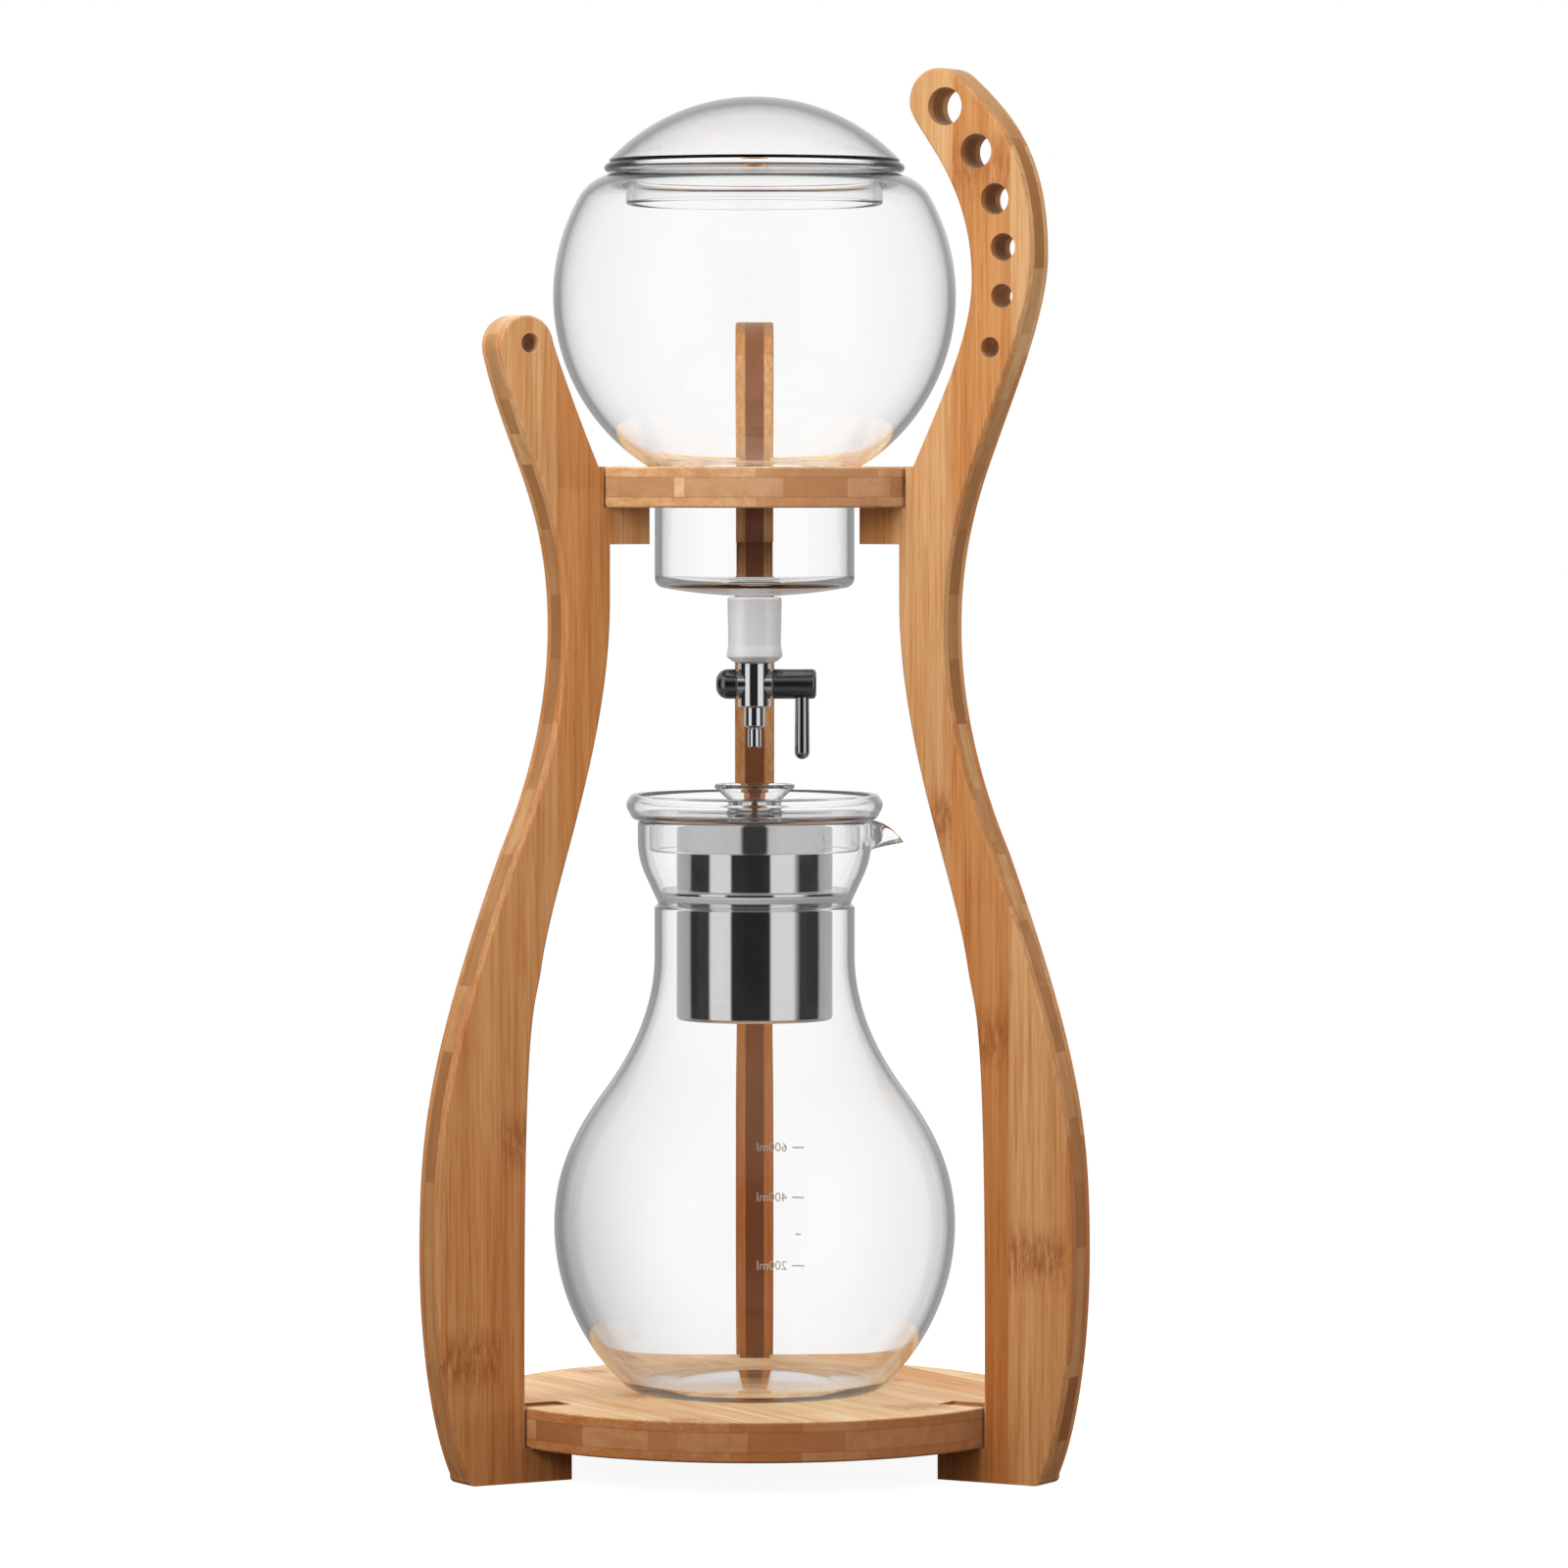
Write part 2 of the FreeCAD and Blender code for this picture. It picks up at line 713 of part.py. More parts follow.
def make_nozzle_stem():
    shoulder = tap_bottom - slip_gap
    top = tap_bottom + spigot_length
    stem = polygon([
        (drip_bore_radius, stem_end), (stem_radius - stem_chamfer, stem_end),
        (stem_radius, stem_end + stem_chamfer), (stem_radius, shoulder),
        (stem_spigot_radius, shoulder), (stem_spigot_radius, top), (drip_bore_radius, top)]).turned()
    return stem.cut(upright(tip_spigot_radius + slip_gap, stem_end - END,
                            stem_end + spigot_length + slip_gap))


def make_drip_tip():
    shoulder = stem_end - stem_groove
    top = stem_end + spigot_length
    return polygon([
        (drip_bore_radius, tip_end), (tip_radius - tip_chamfer, tip_end),
        (tip_radius, tip_end + tip_chamfer), (tip_radius, shoulder), (tip_spigot_radius, shoulder),
        (tip_spigot_radius, top), (drip_bore_radius, top)]).turned()


# ---- Carafe ----

def carafe_solid(inset, floor_rise, top):
    """The carafe's outer form, or its hollow when inset by the wall and raised by the floor."""
    centre = (bulb_radius - bulb_arc_radius, base_top + bulb_height)
    arc_radius = bulb_arc_radius - inset
    corner = carafe_corner
    flat = base_top + floor_rise
    corner_z = flat + corner
    corner_x = centre[0] + math.sqrt((arc_radius - corner) ** 2 - (corner_z - centre[1]) ** 2)
    stretch = arc_radius / (arc_radius - corner)
    bulb = bulb_radius - inset
    neck = carafe_neck_radius - inset
    waist = pinch_radius - inset
    collar = collar_radius - inset
    punt_sag = (punt_radius ** 2 + punt_rise ** 2) / (2 * punt_rise)
    outline = Outline(0, flat + punt_rise)
    outline.arc((0, flat + punt_rise - punt_sag), punt_sag, punt_radius, flat)
    outline.line(corner_x, flat)
    outline.arc((corner_x, corner_z), corner, centre[0] + (corner_x - centre[0]) * stretch,
                centre[1] + (corner_z - centre[1]) * stretch)
    outline.arc(centre, arc_radius, bulb, centre[1])
    outline.sway(neck, neck_foot, *shoulder_bend_shares)
    outline.round(neck, pinch - pinch_ledge, pinch_round, waist, pinch)
    outline.line(waist, pinch)
    outline.round(collar, collar_foot, collar_round, collar, top)
    outline.line(collar, top)
    outline.line(0, top)
    return outline.turned()


def spout_solid(root_radius, tip_radius):
    """The beak's outer cone, or its trough with smaller radii."""
    reach = collar_radius + spout_overhang - spout_root_reach
    root_z = collar_top
    tip_z = collar_top - spout_tip_drop
    direction = FreeCAD.Vector(reach, 0, tip_z - root_z)
    start = FreeCAD.Vector(spout_root_reach, 0, root_z)
    return Part.makeCone(root_radius, tip_radius, direction.Length, start, direction)


def spout_trim():
    """Everything above the beak's lip, which runs out level and then falls to the tip."""
    start = collar_radius + spout_cut_start
    tip = (collar_radius + spout_overhang, collar_top - spout_lip_drop)
    run = collar_radius
    outline = Outline(start, collar_top)
    outline.curve((start + spout_level_handle, collar_top - spout_level_drop),
                  along(tip, spout_lip_lean, spout_fall_handle), tip)
    outline.line(tip[0] + run, tip[1])
    outline.line(tip[0] + run, collar_top + run)
    outline.line(start, collar_top + run)
    wedge = outline.face().extrude(FreeCAD.Vector(0, 2 * run, 0))
    wedge.translate(FreeCAD.Vector(0, -run, 0))
    return wedge


def blended(body, beak, radius):
    """A body and a beak as one, with a soft turn where they meet."""
    joined = body.fuse(beak).removeSplitter()
    seam = [edge for edge in joined.Edges
            if not edge.Degenerated and isinstance(edge.Curve, Part.BSplineCurve)]
    return joined.makeFillet(radius, seam)


def make_carafe():
    tall = collar_top + 2 * spout_root_radius
    outer = blended(carafe_solid(0, 0, tall),
                    spout_solid(spout_root_radius, spout_tip_radius), spout_blend)
    hollow = blended(carafe_solid(carafe_wall, carafe_floor, tall + END),
                     spout_solid(spout_root_radius - carafe_wall, trough_tip_radius), trough_blend)
    above = upright(2 * collar_radius, collar_top, tall + 2 * END)
    glass = outer.cut(hollow).cut(above).cut(spout_trim()).removeSplitter()
    rim = [edge for edge in glass.Edges if edge.BoundBox.ZMin > collar_top - TINY]
    return glass.makeFillet(rim_round, rim)


# ---- Filter cup ----

def collar_hollow_radius(height):
    """The inside radius of the carafe's tapered collar at a height."""
    share = (height - pinch) / collar_flare_height
    return pinch_radius - carafe_wall + (collar_radius - pinch_radius) * share


flange_low = pinch + gasket_rise + gasket_thickness
cup_top = flange_low + cup_above_flange
cup_bottom = cup_top - cup_length


def make_gasket():
    """A soft ring with a tapered edge, between the flange and the glass."""
    low = flange_low - gasket_thickness
    outer_low = collar_hollow_radius(low) - seat_gap
    outer_high = collar_hollow_radius(flange_low) - seat_gap
    inner = cup_radius + slip_gap
    return polygon([(inner, low), (outer_low, low), (outer_high, flange_low),
                    (inner, flange_low)]).turned()


def make_filter_cup():
    """A tube with a flange outside it and a lip turned in at its foot."""
    flange = collar_hollow_radius(flange_low) - 2 * seat_gap
    inner = cup_radius - cup_wall
    return polygon([
        (inner - floor_lip, cup_bottom), (cup_radius, cup_bottom, cup_foot_round), (cup_radius, flange_low),
        (flange, flange_low), (flange, flange_low + flange_thickness),
        (cup_radius, flange_low + flange_thickness), (cup_radius, cup_top), (inner, cup_top),
        (inner, cup_bottom + cup_wall), (inner - floor_lip, cup_bottom + cup_wall)]).turned()


def make_filter_mesh():
    """A thin perforated disc on the lip of the cup's foot."""
    low = cup_bottom + cup_wall + slip_gap
    radius = cup_radius - cup_wall - 2 * slip_gap
    disc = upright(radius, low, low + mesh_thickness)
    holes = []
    edge = radius - floor_lip - mesh_hole_radius
    rows = int(edge / (mesh_hole_pitch * math.sqrt(0.75)))
    for row in range(-rows, rows + 1):
        y = row * mesh_hole_pitch * math.sqrt(0.75)
        half = int(edge / mesh_hole_pitch) + 1
        for column in range(-half, half + 1):
            x = (column + (row % 2) / 2) * mesh_hole_pitch
            if math.hypot(x, y) < edge:
                holes.append(upright(mesh_hole_radius, low - END, low + mesh_thickness + END, x, y))
    return disc.cut(holes)


def make_mesh_ring():
    low = cup_bottom + cup_wall + mesh_thickness + 2 * slip_gap
    outer = cup_radius - cup_wall - slip_gap
    ring = upright(outer, low, low + mesh_ring_height)
    return ring.cut(upright(outer - mesh_ring_width, low - END, low + mesh_ring_height + END))


# ---- Carafe lid ----

def make_carafe_lid():
    """A shallow dish with a rolled lip, a skirt inside the collar and a funnel in its middle."""
    lip = collar_radius + lid_lip_reach
    lip_top = lid_seat + lid_lip_height
    skirt_out = collar_radius - carafe_wall - lid_skirt_gap
    skirt_in = skirt_out - lid_wall
    skirt_low = lid_seat - lid_skirt_depth
    under = lid_seat + lid_floor_rise
    floor = under + lid_wall
    waist = funnel_waist_radius
    ring = funnel_ring_radius
    hole = funnel_outlet_radius
    outlet_low = lid_seat - funnel_outlet_depth
    throat = under - funnel_throat_drop
    lid = polygon([
        (hole, outlet_low), (hole + lid_wall, outlet_low), (hole + lid_wall, throat),
        (waist + funnel_flare, under, lid_floor_round), (skirt_in, under, funnel_flare),
        (skirt_in, skirt_low), (skirt_out, skirt_low), (skirt_out, lid_seat),
        (lip - lid_lip_seat, lid_seat, lid_low_round), (lip, lid_seat + lid_lip_belly, lid_lip_round),
        (lip - lid_top_inset, lip_top, lid_top_round),
        (skirt_out - funnel_flare, floor, lid_floor_round), (waist, floor, funnel_waist_round),
        (waist, floor + funnel_waist_rise, funnel_waist_round),
        (ring, funnel_top - funnel_ring_band, funnel_ring_rounds[0]),
        (ring, funnel_top, funnel_ring_rounds[1]),
        (ring - lid_wall, funnel_top, funnel_ring_rounds[2]),
        (waist - lid_wall, floor + lid_wall, lid_floor_round),
        (hole, throat, funnel_flare)])
    return lid.turned()


# ---- Build ----

short_holes = [(short_tip_reach - short_hole_inset, short_tip_rise + short_hole_lift, short_hole_radius)]
makers = {
    "base_plate": lambda: slotted_plate(base_radius, base_underside, base_face),
    "upper_shelf": make_shelf,
    "water_vessel": make_vessel,
    "vessel_lid": make_vessel_lid,
    "outlet_stopper": make_stopper,
    "tap_inlet_tube": make_inlet_tube,
    "tap_body": make_tap_body,
    "tap_spindle": make_spindle,
    "tap_o_rings": make_o_rings,
    "tap_knob": make_knob,
    "tap_lever": make_lever,
    "tap_end_cap": make_end_cap,
    "nozzle_stem": make_nozzle_stem,
    "drip_tip": make_drip_tip,
    "carafe": make_carafe,
    "carafe_lid": make_carafe_lid,
    "filter_cup": make_filter_cup,
    "filter_gasket": make_gasket,
    "filter_mesh": make_filter_mesh,
    "filter_mesh_ring": make_mesh_ring,
}
leg_shapes = {
    "leg_front_left": make_leg(short_top, short_holes),
    "leg_front_right": make_leg(tall_top, peg_holes()),
    "leg_back": make_leg(short_top, short_holes),
}

shapes = {name: about_drip_axis(leg_shapes[name], azimuth) for name, azimuth in leg_azimuths.items()}
shapes.update({name: make() for name, make in makers.items()})
for name, shape in shapes.items():
    shape.exportStep("parts/" + name + ".step")
    print(name, "solids", len(shape.Solids), "valid", shape.isValid(), "volume", round(shape.Volume, 1))
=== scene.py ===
import json
import math
from functools import partial

import bpy
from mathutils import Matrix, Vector

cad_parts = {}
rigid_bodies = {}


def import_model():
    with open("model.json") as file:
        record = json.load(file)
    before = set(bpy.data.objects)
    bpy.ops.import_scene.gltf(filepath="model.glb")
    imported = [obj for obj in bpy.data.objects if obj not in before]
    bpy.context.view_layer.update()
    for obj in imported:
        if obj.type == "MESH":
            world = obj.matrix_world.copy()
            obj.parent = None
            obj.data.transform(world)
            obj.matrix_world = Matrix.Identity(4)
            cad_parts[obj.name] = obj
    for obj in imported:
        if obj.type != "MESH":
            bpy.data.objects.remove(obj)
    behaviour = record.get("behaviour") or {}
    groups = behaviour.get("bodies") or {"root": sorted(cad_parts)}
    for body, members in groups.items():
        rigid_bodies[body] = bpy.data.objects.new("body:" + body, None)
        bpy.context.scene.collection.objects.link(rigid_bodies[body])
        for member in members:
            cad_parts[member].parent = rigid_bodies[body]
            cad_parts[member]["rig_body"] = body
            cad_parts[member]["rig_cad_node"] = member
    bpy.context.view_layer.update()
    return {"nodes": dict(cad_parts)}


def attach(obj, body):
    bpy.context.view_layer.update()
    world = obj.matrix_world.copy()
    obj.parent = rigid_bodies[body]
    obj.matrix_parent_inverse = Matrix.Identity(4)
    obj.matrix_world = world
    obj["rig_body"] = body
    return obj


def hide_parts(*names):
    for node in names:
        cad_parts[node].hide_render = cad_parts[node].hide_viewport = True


# Cold drip coffee tower. Lengths are millimetres unless a comment says metres, and MM turns
# them to metres. The drip axis is Z, the table is at height 0 and the front is -Y.

MM = 0.001
POLE = 0.0005                            # a ring this small closes on the axis
WELD = 0.000001                          # metres: points nearer than this are one
SIDES = 144                              # sides of a turned glass or steel form
CARAFE_SIDES = 240                       # the beak is drawn from a few of them
SMALL_SIDES = 96                         # sides of the stopper, tap and rings
FINE_SIDES = 72                          # sides of the lever, stem and tip
SMOOTH_BELOW = math.radians(32)          # sharper edges of a turned form stay sharp
BOARD_SMOOTH_BELOW = math.radians(34)    # and those of a board

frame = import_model()

# Heights and radii that several pieces share
BASE_MIDDLE = 16.0
SHELF_MIDDLE = 291.4
TAP_AXIS = 232.8
TAP_BOTTOM = 225.9
TAP_TOP = 239.4
GLOBE_CENTRE = 348.118
GLOBE_RADIUS = 59.8
CROWN_TOP = 384.418
NECK_BOTTOM = 258.9
GLASS_WALL = 2.0
CARAFE_BASE = 22.0
COLLAR_TOP = 192.2
LID_SEAT = 192.4


# ---- Drawing and turning ----

def bend(centre, radius, start, end, steps):
    """Points along an arc, from one direction to another in degrees."""
    points = []
    for step in range(steps + 1):
        turn = math.radians(start + (end - start) * step / steps)
        points.append((centre[0] + radius * math.cos(turn), centre[1] + radius * math.sin(turn)))
    return points


def sweep(start, first_pull, second_pull, end, steps):
    """Points along a smooth curve that leaves and arrives towards its two pulls."""
    points = []
    for step in range(1, steps + 1):
        t = step / steps
        weights = ((1 - t) ** 3, 3 * t * (1 - t) ** 2, 3 * t * t * (1 - t), t ** 3)
        corners = (start, first_pull, second_pull, end)
        points.append((sum(w * c[0] for w, c in zip(weights, corners)),
                       sum(w * c[1] for w, c in zip(weights, corners))))
    return points


def soften(corners, steps=5):
    """An outline whose corners (x, z, radius) are turned with small arcs."""
    points = []
    for index, corner in enumerate(corners):
        here = Vector(corner[:2])
        if len(corner) == 2:
            points.append((here.x, here.y))
            continue
        back = (Vector(corners[index - 1][:2]) - here).normalized()
        ahead = (Vector(corners[(index + 1) % len(corners)][:2]) - here).normalized()
        half = back.angle(ahead) / 2
        middle = here + (back + ahead).normalized() * (corner[2] / math.sin(half))
        start = here + back * (corner[2] / math.tan(half)) - middle
        end = here + ahead * (corner[2] / math.tan(half)) - middle
        for step in range(steps + 1):
            spoke = (start.lerp(end, step / steps)).normalized() * corner[2]
            points.append((middle.x + spoke.x, middle.y + spoke.y))
    return points


def deselect_all():
    if bpy.context.mode != "OBJECT":
        bpy.ops.object.mode_set(mode="OBJECT")
    bpy.ops.object.select_all(action="DESELECT")


def pick(*pieces):
    """Selects these pieces alone, with the last one active."""
    deselect_all()
    for piece in pieces:
        piece.select_set(True)
        bpy.context.view_layer.objects.active = piece


def start_at(name, x, z):
    """A new piece that is a single point in the plane of X and Z, open for editing."""
    deselect_all()
    bpy.ops.mesh.primitive_plane_add(size=MM)
    piece = bpy.context.object
    piece.name = name
    bpy.ops.object.mode_set(mode="EDIT")
    bpy.ops.mesh.select_all(action="SELECT")
    bpy.ops.mesh.merge(type="CENTER")
    bpy.ops.transform.translate(value=(x * MM, 0, z * MM))
    return piece


def shade(piece, smooth_below):
    """Shades a form smooth, and lets its large faces stay flat beside small rounds."""
    bpy.ops.object.shade_smooth_by_angle(angle=smooth_below)
    bpy.ops.object.modifier_add(type="WEIGHTED_NORMAL")
    piece.modifiers[-1].keep_sharp = True
    bpy.ops.object.modifier_apply(modifier=piece.modifiers[-1].name)


def draw_and_spin(name, outline, closed=False, sides=SIDES, lying_at=None):
    """A turned piece: its outline is drawn point by point, then spun about its axis.

    An outline point is (radius, distance along the axis). The axis is Z, or runs along X at the
    height lying_at.
    """
    points = [(max(x, POLE), z) for x, z in outline]
    if closed:
        points.append(points[0])
    piece = start_at(name, *points[0])
    for last, point in zip(points, points[1:]):
        step = ((point[0] - last[0]) * MM, 0, (point[1] - last[1]) * MM)
        bpy.ops.mesh.extrude_region_move(TRANSFORM_OT_translate={"value": step})
    bpy.ops.mesh.select_all(action="SELECT")
    bpy.ops.mesh.spin(steps=sides, angle=math.tau, center=(0, 0, 0), axis=(0, 0, 1))
    bpy.ops.mesh.select_all(action="SELECT")
    if lying_at is not None:
        bpy.ops.transform.rotate(value=-math.pi / 2, orient_axis="Y", center_override=(0, 0, 0))
        bpy.ops.transform.translate(value=(0, 0, lying_at * MM))
    bpy.ops.mesh.remove_doubles(threshold=WELD)
    bpy.ops.mesh.normals_make_consistent(inside=False)
    bpy.ops.object.mode_set(mode="OBJECT")
    shade(piece, SMOOTH_BELOW)
    return piece


def fit(piece, material, body, slot, *nodes):
    """Dresses a piece and puts it on its body, in place of the plain nodes."""
    piece.data.materials.clear()
    piece.data.materials.append(material)
    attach(piece, body)
    if nodes:
        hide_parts(*nodes)


# ---- Materials ----

def colour(code):
    """A screen colour such as c59b6d, as linear light."""
    channels = [int(code[at:at + 2], 16) / 255 for at in (0, 2, 4)]
    return [c / 12.92 if c <= 0.04045 else ((c + 0.055) / 1.055) ** 2.4 for c in channels] + [1.0]


def add(tree, kind, inputs=None, **settings):
    """A node with its settings. An input takes a value, a socket, or a node to be linked from."""
    made = tree.nodes.new("ShaderNode" + kind)
    for name, value in settings.items():
        setattr(made, name, value)
    for name, value in (inputs or {}).items():
        socket = made.inputs[name]
        if isinstance(value, bpy.types.Node):
            value = next(output for output in value.outputs if output.enabled)
        if isinstance(value, bpy.types.NodeSocket):
            tree.links.new(value, socket)
        else:
            socket.default_value = value
    return made


def empty_material(name):
    """A new material, and the add function for its empty tree."""
    material = bpy.data.materials.new(name)
    material.use_nodes = True
    material.node_tree.nodes.clear()
    return material, partial(add, material.node_tree)


def bamboo(name, rotation, middle, seed, knuckle_at, end_dark, end_light, mirrored=True):
    """Caramelised bamboo ply: strips side by side, fine fibres, darker end grain and knuckles.

    rotation turns the pattern so that its Z runs along the outer plies' grain and its Y through
    the board. middle is where the board's middle plane then lies. knuckle_at is how far along the
    grain the first knuckle lies. A piece that isn't mirrored stays out of what polished metal
    shows, like a leg that is kept out of shot.
    """
    strip = 19.0             # width of a strip
    first_seam = 0.316       # where its first seam lies, in strips
    knuckle_every = 254.0    # from one knuckle of a culm to the next
    core_piece = 58.0        # length of the core's shorter pieces
    core_half = 2.9          # half the core's thickness
    stagger = 0.25           # how far one strip's knuckles lie past the next strip's, in lengths
    outer_strip = 5          # the strip along a board's outer edge
    seeds_a_strip = 7.0      # more than the lengths in a strip, so that no two share a tone
    painted_shade_reach = 0.34       # metres: height at which the painted shade has faded and the tone is at its palest
    material, make = empty_material(name)

    def streaks(width, length, detail, shift):
        """Noise drawn out along the grain, from its width and length."""
        stretched = make("Mapping", {"Vector": place, "Location": (shift, shift, shift),
                                     "Scale": (1 / width, 1 / width, 1 / length)})
        return make("TexNoise", {"Vector": stretched, "Scale": 1.0, "Detail": detail,
                                 "Roughness": 0.6})

    where = make("TexCoord")
    turned = make("Mapping", {"Vector": where.outputs["Object"], "Rotation": rotation,
                              "Scale": (1 / MM, 1 / MM, 1 / MM)})
    place = make("VectorMath", {0: turned, 1: (0, middle, 0)}, operation="SUBTRACT")
    across, through, along = make("SeparateXYZ", {"Vector": place}).outputs
    facing = make("Mapping", {"Vector": where.outputs["Normal"], "Rotation": rotation},
                  vector_type="VECTOR")
    tilt = make("SeparateXYZ", {"Vector": facing}).outputs[2]

    # Strips, and the length of culm that each part of a strip was cut from
    depth = make("Math", {0: through}, operation="ABSOLUTE")
    core = make("Math", {0: depth, 1: core_half}, operation="LESS_THAN")
    cross = make("Mix", {0: core, 2: across, 3: along}, data_type="FLOAT")
    lengthwise = make("Mix", {0: core, 2: along, 3: across}, data_type="FLOAT")
    strips = make("Math", {0: cross, 1: strip}, operation="DIVIDE")
    from_seam = make("Math", {0: strips, 1: first_seam}, operation="ADD")
    lane = make("Math", {0: from_seam}, operation="FLOOR")
    length = make("Math", {0: core, 1: core_piece - knuckle_every, 2: knuckle_every},
                  operation="MULTIPLY_ADD")
    past_knuckle = make("Math", {0: lengthwise, 1: knuckle_at}, operation="SUBTRACT")
    lengths = make("Math", {0: past_knuckle, 1: length}, operation="DIVIDE")
    staggered = make("Math", {0: lane, 1: stagger, 2: 0.5 - outer_strip * stagger},
                     operation="MULTIPLY_ADD")
    cell = make("Math", {0: staggered, 1: lengths}, operation="ADD")
    whole = make("Math", {0: cell}, operation="FLOOR")
    lane_seed = make("Math", {0: lane, 1: seeds_a_strip, 2: seed}, operation="MULTIPLY_ADD")
    culm = make("Math", {0: lane_seed, 1: whole}, operation="ADD")
    tone = make("TexWhiteNoise", {"W": culm}, noise_dimensions="1D")
    own_lane = make("Math", {0: lane, 1: seed}, operation="ADD")
    lane_tone = make("TexWhiteNoise", {"W": own_lane}, noise_dimensions="1D")
    share = make("Math", {0: cell}, operation="FRACT")
    off_middle = make("Math", {0: share, 1: 0.5}, operation="SUBTRACT")
    either_side = make("Math", {0: off_middle}, operation="ABSOLUTE")
    from_knuckle = make("Math", {0: either_side, 1: knuckle_every}, operation="MULTIPLY")

    # Long grain: broad figure, fibres, short dark vessels and the knuckles' brushed marks
    broad = streaks(4.0, 120.0, 3.0, seed)
    fine = streaks(0.9, 40.0, 4.0, seed + 3.0)
    hair = streaks(0.4, 12.0, 2.0, seed + 5.0)
    fan = streaks(1.1, 5.5, 3.0, seed + 9.0)
    pale = make("Mix", {0: tone, 6: colour("ecc898"), 7: colour("e0b280")}, data_type="RGBA")
    brown = make("Mix", {0: tone, 6: colour("d4a470"), 7: colour("c8935f")}, data_type="RGBA")
    figure = make("Math", {0: broad, 1: 2.2, 2: -0.6}, operation="MULTIPLY_ADD")
    wood = make("Mix", {0: figure, 6: pale, 7: brown}, data_type="RGBA")
    for marks, low, high, stain in ((fine, 0.42, 0.74, "e8cbb0"), (hair, 0.56, 0.8, "e4c3a4"),
                                    (lane_tone, 0.35, 0.9, "ecd2b8")):
        share = make("MapRange", {"Value": marks, "From Min": low, "From Max": high})
        stained = make("Mix", {0: 1.0, 6: wood, 7: colour(stain)}, data_type="RGBA",
                       blend_type="MULTIPLY")
        wood = make("Mix", {0: share, 6: wood, 7: stained}, data_type="RGBA")
    near = make("MapRange", {"Value": from_knuckle, "From Min": 11.0, "From Max": 3.0})
    brushed = make("MapRange", {"Value": fan, "From Min": 0.36, "From Max": 0.6})
    marked = make("Math", {0: near, 1: brushed}, operation="MULTIPLY")
    knuckle = make("Math", {0: marked, 1: 0.75}, operation="MULTIPLY")
    wood = make("Mix", {0: knuckle, 6: wood, 7: colour("a06238")}, data_type="RGBA")

    # End grain where a face cuts across the outer fibres, and blocks of the core's shorter pieces
    upended = make("Math", {0: tilt}, operation="ABSOLUTE")
    cut_across = make("Math", {0: upended, 1: 2.0}, operation="POWER")
    end = make("Math", {0: core, 1: cut_across}, operation="MAXIMUM")
    pores = make("TexVoronoi", {"Vector": place, "Scale": 0.95})
    pore = make("MapRange", {"Value": pores, "From Min": 0.34, "From Max": 0.12})
    pore_share = make("Math", {0: pore, 1: 0.12}, operation="MULTIPLY")
    patch = make("MapRange", {"Value": broad, "From Min": 0.4, "From Max": 0.7})
    patch_share = make("Math", {0: patch, 1: 0.5}, operation="MULTIPLY")
    end_wood = make("Mix", {0: tone, 6: colour(end_dark), 7: colour(end_light)}, data_type="RGBA")
    end_wood = make("Mix", {0: patch_share, 6: end_wood, 7: colour(end_dark)}, data_type="RGBA")
    end_wood = make("Mix", {0: pore_share, 6: end_wood, 7: colour("55301b")}, data_type="RGBA")
    end_share = make("Math", {0: end, 1: 0.92}, operation="MULTIPLY")
    wood = make("Mix", {0: end_share, 6: wood, 7: end_wood}, data_type="RGBA")

    # A dark glue line on each side of the core
    past_core = make("Math", {0: depth, 1: core_half}, operation="SUBTRACT")
    from_glue = make("Math", {0: past_core}, operation="ABSOLUTE")
    glue = make("MapRange", {"Value": from_glue, "From Min": 0.3, "From Max": 0.05})
    glue_share = make("Math", {0: glue, 1: 0.3}, operation="MULTIPLY")
    wood = make("Mix", {0: glue_share, 6: wood, 7: colour("7a4a2c")}, data_type="RGBA")

    # Painted shade: the wood is darker and more saturated towards the bottom, where less light falls.
    # Painted light: upward faces are paler and cooler, for the top light and sheen on them.
    # Both are shares of the wood's own colour.
    level = make("SeparateXYZ", {"Vector": where.outputs["Object"]}).outputs[2]
    upward = make("SeparateXYZ", {"Vector": where.outputs["Normal"]}).outputs[2]
    height = make("MapRange", {"Value": level, "From Min": 0.0, "From Max": painted_shade_reach})
    painted_low_shade = make("Mix", {0: height, 6: (0.72, 0.55, 0.42, 1.0), 7: (1.0, 1.0, 1.0, 1.0)},
                   data_type="RGBA")
    painted_top_light = make("MapRange", {"Value": upward, "From Min": 0.3, "From Max": 0.9})
    painted_light_and_shade = make("Mix", {0: painted_top_light, 6: painted_low_shade, 7: (0.86, 1.04, 1.3, 1.0)}, data_type="RGBA")
    wood = make("Mix", {0: 1.0, 6: wood, 7: painted_light_and_shade}, data_type="RGBA", blend_type="MULTIPLY")

    shallow = make("Math", {0: hair, 1: 0.6}, operation="MULTIPLY")
    relief = make("Math", {0: fine, 1: shallow}, operation="ADD")
    bump = make("Bump", {"Height": relief, "Strength": 0.3, "Distance": 0.12 * MM})
    gloss = make("Math", {0: broad, 1: 0.2, 2: 0.45}, operation="MULTIPLY_ADD")
    shader = make("BsdfPrincipled", {"Base Color": wood, "Roughness": gloss,
                                     "Specular IOR Level": 0.12, "Normal": bump})
    if not mirrored:
        path = make("LightPath")
        in_mirror = make("Math", {0: path.outputs["Glossy Depth"], 1: 0.5},
                         operation="GREATER_THAN")
        out_of_shot = make("BsdfTransparent")
        shader = make("MixShader", {0: in_mirror, 1: shader, 2: out_of_shot})
    make("OutputMaterial", {"Surface": shader})
    return material


